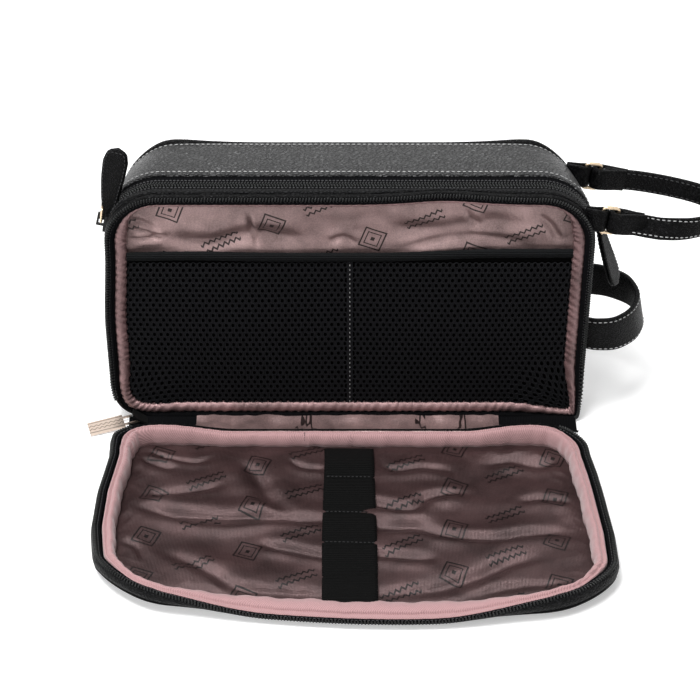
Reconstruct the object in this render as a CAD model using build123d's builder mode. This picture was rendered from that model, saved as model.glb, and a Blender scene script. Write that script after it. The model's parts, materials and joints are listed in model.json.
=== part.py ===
from build123d import *
import math
import os

# Leather toiletry bag with a drop-down front flap, standing open on its base.
# Millimetres. X is right, Y is back, Z is up. The origin is on the floor under the bag's body.
# The body holds a zipped main compartment and, in front of its divider, a shallow recess with two
# mesh pockets. The flap lies open on the floor in front, hinged along the body's lower front edge.

os.makedirs("parts", exist_ok=True)

# Overall sizes
bag_width = 260.0
bag_height = 150.0
back_draw_in = 12.0
corner_radius = 30.0
front_teeth_y = -28.4

# Leather, lining and stiffeners
leather = 1.8
lining = 0.6
board = 1.2
seam_clearance = 0.05
base_trim = 0.2
round_sides = 8
octagon_chamfer = (1 - math.tan(math.pi / round_sides)) / 2
moving_clearance = 0.4
gusset_clearance = 0.3

# Depths from front to back
front_band_depth = 4.2
main_zip_opening = 14.0
rear_band_depth = 30.5
rear_piping_diameter = 4.5
front_piping_diameter = 3.6

# Half zip round the front opening, and the rolled bindings beside it
tooth_depth = 1.6
tooth_reach = 2.0
tooth_width = 2.8
tooth_pitch = 6.5
tooth_relief = 0.3
comb_end_angle = 45.0
tape_thickness = 0.7
tape_width = 2.4
binding_width = 6.0
binding_depth = 6.4
binding_chamfer = 1.8
binding_setback = 1.2
hinge_opening_width = 156.0

# Main zip over the top
main_zip_end_height = 70.0
first_rear_tooth = 0.75
first_front_tooth = 1.25
chain_width = 6.0
chain_setback = 5.0
chain_spine = 0.9
chain_spine_inset = 0.4
finger_clearance = 0.3
main_tooth_width = 2.3
main_tooth_pitch = 6.6
main_tooth_thickness = 1.6
end_tab_height = 8.0

# Front flap, lying open
flap_depth = 16.0
hinge_gap = 12.0
closed_gap = 0.5

# Divider and mesh pockets
divider_face_y = -19.5
pocket_room = 5.2
mesh_thickness = 0.8
mesh_margin = 12.0
mesh_bottom_height = 10.5
mesh_top_height = 108.5
mesh_side_strip = 3.8
mesh_end_strip = 2.6
mesh_upright_thread = 1.6
mesh_level_thread = 2.2
mesh_columns = 12
mesh_rows = 8
mesh_binding_height = 5.0
mesh_binding_thickness = 1.6
centre_tape_width = 5.0

# Elastic loops on the flap
elastic_width = 27.0
elastic_thickness = 1.2
elastic_loop_pitch = 23.8
elastic_loop_count = 5
elastic_loop_rise = 4.0
elastic_tack = 3.0
elastic_setback = 17.0

# Side handle
handle_width = 21.0
handle_thickness = 2.6
handle_reach = 33.0
handle_height = 60.0
handle_front_y = -23.0
handle_rear_y = 25.0
handle_leg_length = 9.0

# Carry strap, its rings and the tabs that hold them
strap_width = 12.0
strap_thickness = 3.0
strap_reach = 72.0
strap_tilt = 8.0
strap_roll = 4.6
strap_eye_reach = 2.5
strap_eye_drop = 16.5
rear_eye_setback = 4.0
eye_spacing = 48.0
ring_wire = 2.0
ring_length = 8.0
ring_corner = 1.6
eye_clearance = 0.3
tab_leather = 1.3
tab_length = 36.0
fold_length = 13.0
folded_ply = 1.2

# Sliders, pulls and leather pullers
slider_angle = 13.5
slider_span = 18.0
slider_plate = 1.0
slider_half_width = 4.6
slider_lip = 0.8
slider_clearance = 0.6
bridge_thickness = 1.2
bridge_length = 8.0
bridge_rise = 3.7
link_wire = 1.4
link_width = 7.0
link_length = 8.0
link_corner = 1.4
puller_length = 36.0
puller_width = 13.5
puller_root_width = 4.6
puller_thickness = 2.8
left_puller_lean = 8.0
right_puller_lean = 17.0
front_slider_angle = 235.0
front_slider_y = -28.65
pull_plate_length = 20.0
pull_plate_width = 10.5
pull_plate_thickness = 1.1
pull_bar = 1.0
pull_yaw = 17.0
pull_drop = 4.0

# Places that follow from the sizes above
back_width = bag_width - back_draw_in
front_piping_radius = front_piping_diameter / 2
rear_piping_radius = rear_piping_diameter / 2
front_tape_y = front_teeth_y + tooth_depth / 2
front_piping_y = front_teeth_y + tooth_depth + front_piping_radius
front_band_y = front_piping_y + front_piping_radius
zip_front_y = front_band_y + front_band_depth
zip_back_y = zip_front_y + main_zip_opening
chain_y = zip_front_y + chain_setback
rear_band_end_y = zip_back_y + rear_band_depth
rear_piping_y = rear_band_end_y + rear_piping_radius
back_y = rear_piping_y + rear_piping_radius
divider_board_y = divider_face_y + lining
main_lining_front_y = divider_board_y + board
back_board_y = rear_band_end_y
main_lining_back_y = back_board_y - lining
mesh_y = divider_face_y - pocket_room
chain_low = main_zip_end_height + end_tab_height + 2 * seam_clearance
flap_hinge_y = front_teeth_y - hinge_gap
flap_axis_y = front_teeth_y - (hinge_gap + closed_gap + flap_depth) / 2
flap_axis_z = (flap_depth + closed_gap - hinge_gap) / 2


def width_at(y):
    """Width of the body at depth y: straight at the front, drawn in towards the back."""
    if y <= zip_back_y:
        return bag_width
    share = (y - zip_back_y) / (back_y - zip_back_y)
    return bag_width + (back_width - bag_width) * share


def front_plane(y):
    """Upright plane across the body at depth y, seen from the front; extrudes go forward."""
    return Plane(origin=(0, y, 0), x_dir=(1, 0, 0), z_dir=(0, -1, 0))


def flap_plane(z):
    """Plane of the open flap at height z, its local y counted from the hinge side; extrudes go down."""
    return Plane(origin=(0, flap_hinge_y, z), x_dir=(1, 0, 0), z_dir=(0, 0, -1))


def outline(plane, inset, width=bag_width, drop=0):
    """The bag's rounded outline, inset from the leather's face and reaching below the floor by a drop."""
    height = bag_height + drop
    with BuildSketch(plane) as section:
        with Locations((0, height / 2 - drop)):
            RectangleRounded(width - 2 * inset, height - 2 * inset, corner_radius - inset)
    return section.sketch


def outline_ring(plane, outer_inset, inner_inset, width=bag_width):
    """A band between two insets of the rounded outline."""
    with BuildSketch(plane) as section:
        with Locations((0, bag_height / 2)):
            RectangleRounded(
                width - 2 * outer_inset, bag_height - 2 * outer_inset, corner_radius - outer_inset
            )
            RectangleRounded(
                width - 2 * inner_inset,
                bag_height - 2 * inner_inset,
                corner_radius - inner_inset,
                mode=Mode.SUBTRACT,
            )
    return section.sketch


def body_sections(front_y, rear_y, inset, drop=0):
    """Two outlines of the tapered body, from back to front, for a loft."""
    return [
        outline(front_plane(rear_y), inset, width_at(rear_y), drop),
        outline(front_plane(front_y), inset, width_at(front_y), drop),
    ]


def piping(plane, radius, width=bag_width):
    """Round piping that runs once round the outline, just inside the leather's face."""
    path = outline(plane, radius, width).face().outer_wire()
    with BuildPart() as tube:
        with BuildSketch(Plane(origin=path @ 0, z_dir=path % 0)):
            RegularPolygon(radius, round_sides)
        sweep(path=path)
    return tube.part


def rim_stations(pitch, low_angle):
    """Places of the half zip's teeth, on the outline from one lower corner over the top to the other."""
    half = bag_width / 2 - corner_radius
    straight_up = bag_height - 2 * corner_radius
    with BuildLine(Plane.XY) as route:
        CenterArc((-half, corner_radius), corner_radius, 180 + low_angle, -low_angle)
        Line((-bag_width / 2, corner_radius), (-bag_width / 2, corner_radius + straight_up))
        CenterArc((-half, bag_height - corner_radius), corner_radius, 180, -90)
        Line((-half, bag_height), (half, bag_height))
        CenterArc((half, bag_height - corner_radius), corner_radius, 90, -90)
        Line((bag_width / 2, bag_height - corner_radius), (bag_width / 2, corner_radius))
        CenterArc((half, corner_radius), corner_radius, 0, -low_angle)
    wire = route.wire()
    count = int(wire.length / pitch)
    stations = []
    for index in range(count):
        share = (index + 0.5) / count
        point = wire.position_at(share)
        tangent = wire.tangent_at(share)
        angle = math.degrees(math.atan2(tangent.Y, tangent.X))
        stations.append(Location((point.X, point.Y, 0), (0, 0, angle)))
    return stations


def arch_stations(pitch, start):
    """Places of the main zip's teeth, from the left end over the top to the right end."""
    half = bag_width / 2 - corner_radius
    with BuildLine(Plane.XY) as route:
        Line((-bag_width / 2, chain_low), (-bag_width / 2, bag_height - corner_radius))
        CenterArc((-half, bag_height - corner_radius), corner_radius, 180, -90)
        Line((-half, bag_height), (half, bag_height))
        CenterArc((half, bag_height - corner_radius), corner_radius, 90, -90)
        Line((bag_width / 2, bag_height - corner_radius), (bag_width / 2, chain_low))
    wire = route.wire()
    count = int(wire.length / pitch)
    stations = []
    for index in range(count - 1):
        share = (index + start) / count
        point = wire.position_at(share)
        tangent = wire.tangent_at(share)
        angle = math.degrees(math.atan2(tangent.Y, tangent.X))
        stations.append(Location((point.X, point.Y, 0), (0, 0, angle)))
    return stations


# Body: leather shell

with BuildPart() as rear_band:
    loft(body_sections(zip_back_y, rear_band_end_y, 0, base_trim), ruled=True)
    split(bisect_by=Plane.XY, keep=Keep.TOP)
    loft(body_sections(zip_back_y, rear_band_end_y, leather), ruled=True, mode=Mode.SUBTRACT)
rear_band.part.label = "rear_band"

with BuildPart() as front_band:
    extrude(outline_ring(front_plane(zip_front_y), 0, leather), amount=front_band_depth)
front_band.part.label = "front_band"

with BuildPart() as lower_gusset:
    extrude(outline_ring(front_plane(zip_back_y), 0, leather), amount=main_zip_opening)
    split(bisect_by=Plane.XY.offset(main_zip_end_height), keep=Keep.BOTTOM)
lower_gusset.part.label = "lower_gusset"

back_panel_inset = rear_piping_diameter + seam_clearance
with BuildPart() as back_panel:
    extrude(
        outline(front_plane(rear_piping_y + leather / 2), back_panel_inset, width_at(rear_piping_y)),
        amount=leather,
    )
back_panel.part.label = "back_panel"

with BuildPart() as rear_piping:
    add(piping(front_plane(rear_piping_y), rear_piping_radius, width_at(rear_piping_y)))
rear_piping.part.label = "rear_piping"

with BuildPart() as front_piping:
    add(piping(front_plane(front_piping_y), front_piping_radius))
front_piping.part.label = "front_piping"

# Body: stiffeners and linings inside

base_board_width = back_width - 2 * corner_radius
base_board_depth = back_board_y - main_lining_front_y - 1.0
base_board_corner = 3.0
with BuildPart() as base_board:
    with BuildSketch(Plane.XY.offset(leather)):
        with Locations((0, (main_lining_front_y + back_board_y) / 2)):
            RectangleRounded(base_board_width, base_board_depth, base_board_corner)
    extrude(amount=board)
base_board.part.label = "base_board"

with BuildPart() as back_board:
    extrude(
        outline(front_plane(back_board_y + board), back_panel_inset, width_at(rear_piping_y)),
        amount=board,
    )
back_board.part.label = "back_board"

main_lining_inset = leather + board + seam_clearance
with BuildPart() as main_lining:
    loft(body_sections(main_lining_front_y, main_lining_back_y + lining, main_lining_inset), ruled=True)
    loft(
        body_sections(main_lining_front_y + lining, main_lining_back_y, main_lining_inset + lining),
        ruled=True,
        mode=Mode.SUBTRACT,
    )
    with BuildSketch(front_plane(zip_back_y)):
        with Locations((0, bag_height / 2 + main_zip_end_height)):
            Rectangle(bag_width, bag_height)
    extrude(amount=zip_back_y - main_lining_front_y - lining, mode=Mode.SUBTRACT)
main_lining.part.label = "main_lining"

divider_inset = leather + seam_clearance
with BuildPart() as divider_board:
    extrude(outline(front_plane(main_lining_front_y), divider_inset), amount=board)
divider_board.part.label = "divider_board"

with BuildPart() as divider_lining:
    extrude(outline(front_plane(divider_board_y), divider_inset), amount=lining)
divider_lining.part.label = "divider_lining"

binding_outer = tape_width + binding_setback
binding_front_y = front_tape_y - tape_thickness / 2
binding_back_y = binding_front_y + binding_depth
with BuildPart() as recess_lining:
    extrude(
        outline_ring(front_plane(divider_face_y), divider_inset, divider_inset + lining),
        amount=divider_face_y - front_piping_y - front_piping_radius,
    )
recess_lining.part.label = "recess_lining"

with BuildPart() as frame_binding:
    extrude(
        outline_ring(front_plane(binding_back_y), binding_outer, binding_outer + binding_width),
        amount=binding_depth,
    )
    chamfer(frame_binding.faces().sort_by(Axis.Y)[0].edges(), length=binding_chamfer)
frame_binding.part.label = "frame_binding"

# Body: half zip round the front opening


def zip_tape(plane):
    """Tape of the half zip, left out along the hinge."""
    with BuildPart() as tape:
        extrude(outline_ring(plane, tooth_reach, binding_outer), amount=tape_thickness)
        with BuildSketch(plane):
            Rectangle(hinge_opening_width, 2 * corner_radius)
        extrude(amount=tape_thickness, mode=Mode.SUBTRACT)
    return tape.part


with BuildPart() as body_zip_tape:
    add(zip_tape(front_plane(front_tape_y + tape_thickness / 2)))
body_zip_tape.part.label = "body_zip_tape"

rim_teeth = rim_stations(tooth_pitch, comb_end_angle)
comb_end_height = corner_radius * (1 - math.cos(math.radians(comb_end_angle)))


def teeth_comb(plane):
    """Teeth of the half zip as a comb: one finger at each station on a narrow spine."""
    with BuildSketch(plane) as comb:
        with Locations((0, bag_height / 2)):
            RectangleRounded(
                bag_width - 2 * tooth_relief, bag_height - 2 * tooth_relief, corner_radius - tooth_relief
            )
            RectangleRounded(
                bag_width - tooth_reach,
                bag_height - tooth_reach,
                corner_radius - tooth_reach / 2,
                mode=Mode.SUBTRACT,
            )
        Rectangle(bag_width - corner_radius, 2 * comb_end_height, mode=Mode.SUBTRACT)
        with Locations(*rim_teeth):
            Rectangle(tooth_width, tooth_reach, align=(Align.CENTER, Align.MAX))
    return comb.sketch


with BuildPart() as body_zip_teeth:
    extrude(teeth_comb(front_plane(front_teeth_y + tooth_depth)), amount=tooth_depth)
body_zip_teeth.part.label = "body_zip_teeth"

# Body: main zip over the top

main_tape_inset = (main_tooth_thickness - tape_thickness) / 2
chain_back_y = chain_y + chain_width / 2
chain_front_y = chain_y - chain_width / 2


def zip_arch(plane, outer_inset, inner_inset, depth):
    """An arch of zip tape over the top and down both sides."""
    with BuildPart() as arch:
        extrude(outline_ring(plane, outer_inset, inner_inset), amount=depth)
        split(bisect_by=Plane.XY.offset(main_zip_end_height + seam_clearance), keep=Keep.TOP)
    return arch.part


with BuildPart() as main_zip_rear_tape:
    add(
        zip_arch(
            front_plane(zip_back_y),
            main_tape_inset,
            main_tape_inset + tape_thickness,
            zip_back_y - chain_back_y,
        )
    )
main_zip_rear_tape.part.label = "main_zip_rear_tape"

with BuildPart() as main_zip_front_tape:
    add(
        zip_arch(
            front_plane(chain_front_y),
            main_tape_inset,
            main_tape_inset + tape_thickness,
            chain_front_y - zip_front_y,
        )
    )
main_zip_front_tape.part.label = "main_zip_front_tape"

finger_reach = chain_width - chain_spine - finger_clearance


def chain_comb(spine_plane, finger_plane, start):
    """One row of the closed chain: fingers across it, joined along the tape's edge by a spine."""
    with BuildSketch(finger_plane) as fingers:
        with Locations(*arch_stations(main_tooth_pitch, start)):
            Rectangle(main_tooth_width, main_tooth_thickness, align=(Align.CENTER, Align.MAX))
    with BuildPart() as row:
        extrude(
            outline_ring(spine_plane, chain_spine_inset, main_tooth_thickness - chain_spine_inset),
            amount=chain_spine,
        )
        split(bisect_by=Plane.XY.offset(chain_low), keep=Keep.TOP)
        extrude(fingers.sketch, amount=finger_reach)
    return row.part


with BuildPart() as main_zip_rear_teeth:
    add(chain_comb(front_plane(chain_back_y), front_plane(chain_back_y), first_rear_tooth))
main_zip_rear_teeth.part.label = "main_zip_rear_teeth"

with BuildPart() as main_zip_front_teeth:
    add(
        chain_comb(
            front_plane(chain_front_y + chain_spine),
            front_plane(chain_front_y + finger_reach),
            first_front_tooth,
        )
    )
main_zip_front_teeth.part.label = "main_zip_front_teeth"


def zip_end_tab(side):
    """Leather tab sewn over one end of the main zip."""
    x = side * (bag_width / 2 - main_tape_inset / 2)
    with BuildPart() as tab:
        with Locations((x, (zip_back_y + zip_front_y) / 2, main_zip_end_height + end_tab_height / 2)):
            Box(main_tape_inset, main_zip_opening, end_tab_height - 2 * seam_clearance)
    return tab.part


with BuildPart() as zip_end_tab_left:
    add(zip_end_tab(-1))
zip_end_tab_left.part.label = "zip_end_tab_left"

with BuildPart() as zip_end_tab_right:
    add(zip_end_tab(1))
zip_end_tab_right.part.label = "zip_end_tab_right"

# Body: mesh pockets in the recess

mesh_width = bag_width - 2 * mesh_margin
mesh_height = mesh_top_height - mesh_bottom_height
mesh_pitch_x = (mesh_width / 2 - 2 * mesh_side_strip) / mesh_columns
mesh_pitch_z = (mesh_height - 2 * mesh_end_strip) / mesh_rows
mesh_gap_width = mesh_pitch_x - mesh_upright_thread
mesh_gap_height = mesh_pitch_z - mesh_level_thread
mesh_middle_z = mesh_bottom_height + mesh_height / 2
with BuildPart() as mesh_pocket:
    with BuildSketch(front_plane(mesh_y)) as mesh_face:
        with Locations((0, mesh_middle_z)):
            Rectangle(mesh_width, mesh_height)
        fillet(mesh_face.vertices().group_by(Axis.Z)[0], radius=corner_radius - mesh_bottom_height)
        with Locations((-mesh_width / 4, mesh_middle_z), (mesh_width / 4, mesh_middle_z)):
            with GridLocations(mesh_pitch_x, mesh_pitch_z, mesh_columns, mesh_rows):
                Polygon(
                    (-mesh_gap_width / 2, 0),
                    (0, -mesh_gap_height / 2),
                    (mesh_gap_width / 2, 0),
                    (0, mesh_gap_height / 2),
                    mode=Mode.SUBTRACT,
                )
    extrude(amount=mesh_thickness)
mesh_pocket.part.label = "mesh_pocket"

with BuildPart() as mesh_binding:
    with BuildSketch(front_plane(mesh_y + mesh_binding_thickness / 2 - mesh_thickness / 2)):
        with Locations((0, mesh_top_height + seam_clearance + mesh_binding_height / 2)):
            Rectangle(mesh_width, mesh_binding_height)
    extrude(amount=mesh_binding_thickness)
mesh_binding.part.label = "mesh_binding"

with BuildPart() as mesh_centre_tape:
    with BuildSketch(front_plane(mesh_y - mesh_thickness)):
        with Locations((0, mesh_middle_z)):
            Rectangle(centre_tape_width, mesh_height)
    extrude(amount=lining)
    with BuildSketch(front_plane(divider_face_y)):
        with Locations((0, mesh_middle_z)):
            Rectangle(lining, mesh_height)
    extrude(amount=pocket_room)
mesh_centre_tape.part.label = "mesh_centre_tape"

# Flap: leather panel, band and piping, open on the floor

flap_board_z = leather
flap_floor_z = flap_board_z + board
flap_band_top = flap_depth - tooth_depth
flap_tape_z = flap_depth - tooth_depth / 2 + tape_thickness / 2

with BuildPart() as flap_panel:
    extrude(outline(flap_plane(leather), front_piping_diameter + seam_clearance), amount=leather)
flap_panel.part.label = "flap_panel"

with BuildPart() as flap_piping:
    add(piping(flap_plane(front_piping_radius), front_piping_radius))
flap_piping.part.label = "flap_piping"

with BuildPart() as flap_band:
    extrude(
        outline_ring(flap_plane(flap_band_top), 0, leather),
        amount=flap_band_top - front_piping_diameter,
    )
flap_band.part.label = "flap_band"

with BuildPart() as flap_board:
    extrude(outline(flap_plane(flap_floor_z), front_piping_diameter + seam_clearance), amount=board)
flap_board.part.label = "flap_board"

flap_lining_inset = front_piping_diameter + seam_clearance
flap_binding_bottom = flap_tape_z - binding_depth
with BuildPart() as flap_lining:
    extrude(
        outline(flap_plane(flap_binding_bottom), flap_lining_inset),
        amount=flap_binding_bottom - flap_floor_z,
    )
    extrude(
        outline(flap_plane(flap_binding_bottom), flap_lining_inset + lining),
        amount=flap_binding_bottom - flap_floor_z - lining,
        mode=Mode.SUBTRACT,
    )
flap_lining.part.label = "flap_lining"

with BuildPart() as flap_binding:
    extrude(
        outline_ring(flap_plane(flap_tape_z), binding_outer, binding_outer + binding_width),
        amount=binding_depth,
    )
    chamfer(flap_binding.faces().sort_by(Axis.Z)[-1].edges(), length=binding_chamfer)
flap_binding.part.label = "flap_binding"

with BuildPart() as flap_zip_tape:
    add(zip_tape(flap_plane(flap_tape_z)))
flap_zip_tape.part.label = "flap_zip_tape"

with BuildPart() as flap_zip_teeth:
    extrude(teeth_comb(flap_plane(flap_depth)), amount=tooth_depth)
flap_zip_teeth.part.label = "flap_zip_teeth"

# Flap: leather gusset that joins it to the body, and its lining

gusset_reach = front_piping_y - front_piping_radius - gusset_clearance - flap_hinge_y
gusset_width = hinge_opening_width - 2 * gusset_clearance
with BuildPart() as hinge_gusset:
    with BuildSketch(flap_plane(leather)):
        with Locations((0, -gusset_reach / 2)):
            Rectangle(gusset_width, gusset_reach)
    extrude(amount=leather)
hinge_gusset.part.label = "hinge_gusset"

with BuildPart() as hinge_lining:
    with BuildSketch(flap_plane(leather + lining)):
        with Locations((0, -gusset_reach / 2)):
            Rectangle(gusset_width - leather, gusset_reach)
    extrude(amount=lining)
hinge_lining.part.label = "hinge_lining"

# Flap: elastic loops, one arch between each two tacks

elastic_floor = flap_floor_z + lining
elastic_face = elastic_floor + elastic_thickness
with BuildPart() as elastic_loops:
    with BuildSketch(Plane.YZ.offset(-elastic_width / 2)):
        for index in range(elastic_loop_count):
            near = flap_hinge_y - elastic_setback - index * elastic_loop_pitch
            start = near - elastic_tack / 2
            end = near - elastic_loop_pitch + elastic_tack / 2
            middle = (start + end) / 2
            top = elastic_floor + elastic_loop_rise
            with BuildLine():
                ThreePointArc((start, elastic_floor), (middle, top - elastic_thickness), (end, elastic_floor))
                Line((end, elastic_floor), (end, elastic_face))
                ThreePointArc((end, elastic_face), (middle, top), (start, elastic_face))
                Line((start, elastic_face), (start, elastic_floor))
            make_face()
        for index in range(elastic_loop_count + 1):
            tack_y = flap_hinge_y - elastic_setback - index * elastic_loop_pitch
            with Locations((tack_y, elastic_floor + elastic_thickness / 2)):
                Rectangle(elastic_tack, elastic_thickness)
    extrude(amount=elastic_width)
elastic_loops.part.label = "elastic_loops"

# Right side: grab handle, cut to the body's side

with BuildPart() as body_envelope:
    loft(body_sections(front_teeth_y, zip_back_y, -seam_clearance), ruled=True)
    loft(body_sections(zip_back_y, back_y, -seam_clearance), ruled=True)

handle_centre_y = (handle_front_y + handle_rear_y) / 2
handle_half_span = (handle_rear_y - handle_front_y) / 2
handle_root_x = bag_width / 2
with BuildPart() as side_handle:
    with BuildSketch(Plane.XY.offset(handle_height - handle_width / 2)):
        with Locations((handle_root_x, handle_centre_y)):
            Ellipse(handle_reach, handle_half_span + handle_thickness / 2)
            Ellipse(
                handle_reach - handle_thickness, handle_half_span - handle_thickness / 2, mode=Mode.SUBTRACT
            )
            Rectangle(
                2 * handle_reach, 4 * handle_half_span, align=(Align.MAX, Align.CENTER), mode=Mode.SUBTRACT
            )
        for leg_y in (handle_front_y, handle_rear_y):
            with Locations((handle_root_x, leg_y)):
                Rectangle(handle_leg_length, handle_thickness, align=(Align.MAX, Align.CENTER))
    extrude(amount=handle_width)
    add(body_envelope.part, mode=Mode.SUBTRACT)
side_handle.part.label = "side_handle"

# Right side: strap tabs, rings and carry strap, all in one tilted plane

tilt = math.radians(strap_tilt)
roll = math.radians(strap_roll)
strap_plane = Plane(
    origin=(bag_width / 2 + strap_eye_reach, front_band_y, bag_height - strap_eye_drop),
    x_dir=(math.cos(tilt), 0, -math.sin(tilt)),
    z_dir=(math.sin(tilt) * math.cos(roll), math.cos(tilt) * math.sin(roll), math.cos(tilt) * math.cos(roll)),
)
front_eye = (0, 0)
rear_eye = (-rear_eye_setback, eye_spacing)
eye_radius = ring_wire / 2 + eye_clearance
ring_height = strap_width + ring_wire + 2 * eye_clearance


def strap_tab(eye):
    """Leather tab, folded round a ring's inner bar and sewn into the body's seam."""
    with BuildPart() as tab:
        with BuildSketch(strap_plane.offset(-strap_width / 2)):
            with Locations(eye):
                Circle(eye_radius + tab_leather)
                Rectangle(tab_length, 2 * tab_leather, align=(Align.MAX, Align.CENTER))
                Circle(eye_radius, mode=Mode.SUBTRACT)
        extrude(amount=strap_width)
        add(body_envelope.part, mode=Mode.SUBTRACT)
    return tab.part.solids().sort_by(Axis.X)[-1]


with BuildPart() as strap_tab_front:
    add(strap_tab(front_eye))
strap_tab_front.part.label = "strap_tab_front"

with BuildPart() as strap_tab_rear:
    add(strap_tab(rear_eye))
strap_tab_rear.part.label = "strap_tab_rear"


def wire_ring(plane, length, width, wire, corner):
    """Rectangular wire ring: one bar on the plane's y axis, the other at the given length along x."""
    side = wire * math.cos(math.pi / round_sides)
    with BuildSketch(plane.offset(-side / 2)) as frame:
        with Locations((length / 2, 0)):
            RectangleRounded(length + side, width + side, corner + side / 2)
            RectangleRounded(length - side, width - side, corner - side / 2, mode=Mode.SUBTRACT)
    with BuildPart() as ring:
        extrude(frame.sketch, amount=side)
        flats = ring.faces().sort_by(Axis(plane.origin, plane.z_dir))
        chamfer(flats[0].edges() + flats[-1].edges(), length=side * octagon_chamfer)
    return ring.part


def strap_ring(eye):
    """Ring with its inner bar in a tab and its outer bar in the strap's fold."""
    place = strap_plane.from_local_coords(Vector(eye[0], eye[1], 0))
    plane = Plane(origin=place, x_dir=strap_plane.x_dir, z_dir=-strap_plane.y_dir)
    return wire_ring(plane, ring_length, ring_height, ring_wire, ring_corner)


with BuildPart() as ring_front:
    add(strap_ring(front_eye))
ring_front.part.label = "ring_front"

with BuildPart() as ring_rear:
    add(strap_ring(rear_eye))
ring_rear.part.label = "ring_rear"

strap_front = (front_eye[0] + ring_length, front_eye[1])
strap_rear = (rear_eye[0] + ring_length, rear_eye[1])
strap_mid_y = (strap_front[1] + strap_rear[1]) / 2
strap_half_span = (strap_rear[1] - strap_front[1]) / 2
bend_x = strap_front[0] + fold_length / 2
strap_fold_radius = eye_radius + strap_thickness / 2
with BuildPart() as carry_strap:
    with BuildSketch(strap_plane.offset(-strap_width / 2)):
        with Locations((bend_x, strap_mid_y)):
            Ellipse(strap_reach - bend_x, strap_half_span + strap_thickness / 2)
            Ellipse(
                strap_reach - bend_x - strap_thickness,
                strap_half_span - strap_thickness / 2,
                mode=Mode.SUBTRACT,
            )
            Rectangle(2 * strap_reach, 4 * eye_spacing, align=(Align.MAX, Align.CENTER), mode=Mode.SUBTRACT)
        for bar_x, bar_y in (strap_front, strap_rear):
            with Locations(((bar_x + bend_x) / 2, bar_y)):
                Rectangle(bend_x - bar_x, strap_thickness)
            with Locations((bar_x, bar_y)):
                Circle(strap_fold_radius)
        for (bar_x, bar_y), outward in ((strap_front, -1), (strap_rear, 1)):
            fold_y = bar_y + outward * (strap_thickness + folded_ply) / 2
            with Locations((bar_x + fold_length / 2, fold_y)):
                Rectangle(fold_length, folded_ply)
        with Locations(strap_front, strap_rear):
            Circle(eye_radius, mode=Mode.SUBTRACT)
    extrude(amount=strap_width)
carry_strap.part.label = "carry_strap"

# Sliders and their pulls


def polar(radius, angle):
    """Point at a radius and an angle in degrees."""
    return (radius * math.cos(math.radians(angle)), radius * math.sin(math.radians(angle)))


def arc_plate(plane, centre, angle, inner, outer):
    """A stretch of flat ring between two radii, as long as a slider."""
    start = angle - slider_span / 2
    with BuildSketch(plane) as plate:
        with BuildLine():
            low_arc = CenterArc(centre, inner, start, slider_span)
            high_arc = CenterArc(centre, outer, start, slider_span)
            Line(low_arc @ 0, high_arc @ 0)
            Line(low_arc @ 1, high_arc @ 1)
        make_face()
    return plate.sketch


slider_inner = corner_radius + slider_clearance
slider_outer = slider_inner + slider_plate
pull_pivot_radius = slider_outer + (bridge_rise - bridge_thickness) / 2


def slider(centre, angle, middle_y, lip_depth):
    """Zip slider on a corner of the chain: a curved plate with two lips and a bridge for its pull."""
    with BuildPart() as body:
        rear_plane = front_plane(middle_y + slider_half_width)
        plate = arc_plate(rear_plane, centre, angle, slider_inner, slider_outer)
        extrude(plate, amount=2 * slider_half_width)
        for lip_y in (middle_y + slider_half_width, middle_y - slider_half_width + slider_lip):
            lip_outer = slider_inner + slider_plate / 2
            lip = arc_plate(front_plane(lip_y), centre, angle, slider_inner - lip_depth, lip_outer)
            extrude(lip, amount=slider_lip)
        with BuildSketch(front_plane(middle_y + bridge_thickness / 2)):
            with Locations(Location((centre[0], centre[1], 0), (0, 0, angle))):
                with Locations((slider_outer - slider_plate / 2, 0)):
                    Rectangle(bridge_rise + slider_plate / 2, bridge_length, align=(Align.MIN, Align.CENTER))
                    Rectangle(
                        bridge_rise + slider_plate / 2 - bridge_thickness,
                        bridge_length - 2 * bridge_thickness,
                        align=(Align.MIN, Align.CENTER),
                        mode=Mode.SUBTRACT,
                    )
        extrude(amount=bridge_thickness)
    return body.part


def pull_pivot(centre, angle, middle_y):
    """Middle of the space under a slider's bridge."""
    across, up = polar(pull_pivot_radius, angle)
    return Vector(centre[0] + across, middle_y, centre[1] + up)


upper_left = (-bag_width / 2 + corner_radius, bag_height - corner_radius)
upper_right = (bag_width / 2 - corner_radius, bag_height - corner_radius)
lower_left = (-bag_width / 2 + corner_radius, corner_radius)
main_lip_depth = 0.7
front_lip_depth = 0.3

with BuildPart() as main_slider_left:
    add(slider(upper_left, 180 - slider_angle, chain_y, main_lip_depth))
main_slider_left.part.label = "main_slider_left"

with BuildPart() as main_slider_right:
    add(slider(upper_right, slider_angle, chain_y, main_lip_depth))
main_slider_right.part.label = "main_slider_right"

with BuildPart() as front_slider:
    add(slider(lower_left, front_slider_angle, front_slider_y, front_lip_depth))
front_slider.part.label = "front_slider"

left_pivot = pull_pivot(upper_left, 180 - slider_angle, chain_y)
right_pivot = pull_pivot(upper_right, slider_angle, chain_y)
front_pivot = pull_pivot(lower_left, front_slider_angle, front_slider_y)
left_lean = math.radians(left_puller_lean)
right_lean = math.radians(right_puller_lean)
left_direction = Vector(math.sin(left_lean), 0, math.cos(left_lean))
right_direction = Vector(math.sin(right_lean), 0, -math.cos(right_lean))
across_chain = Vector(0, 1, 0)


def pull_link(pivot, direction):
    """Wire link from under a slider's bridge to the fold of its leather puller."""
    plane = Plane(origin=pivot, x_dir=direction, z_dir=direction.cross(across_chain))
    return wire_ring(plane, link_length, link_width, link_wire, link_corner)


sleeve_hole = link_wire / 2 + seam_clearance
sleeve_radius = sleeve_hole + tab_leather
sleeve_length = link_width - link_wire - 2 * moving_clearance


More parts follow.
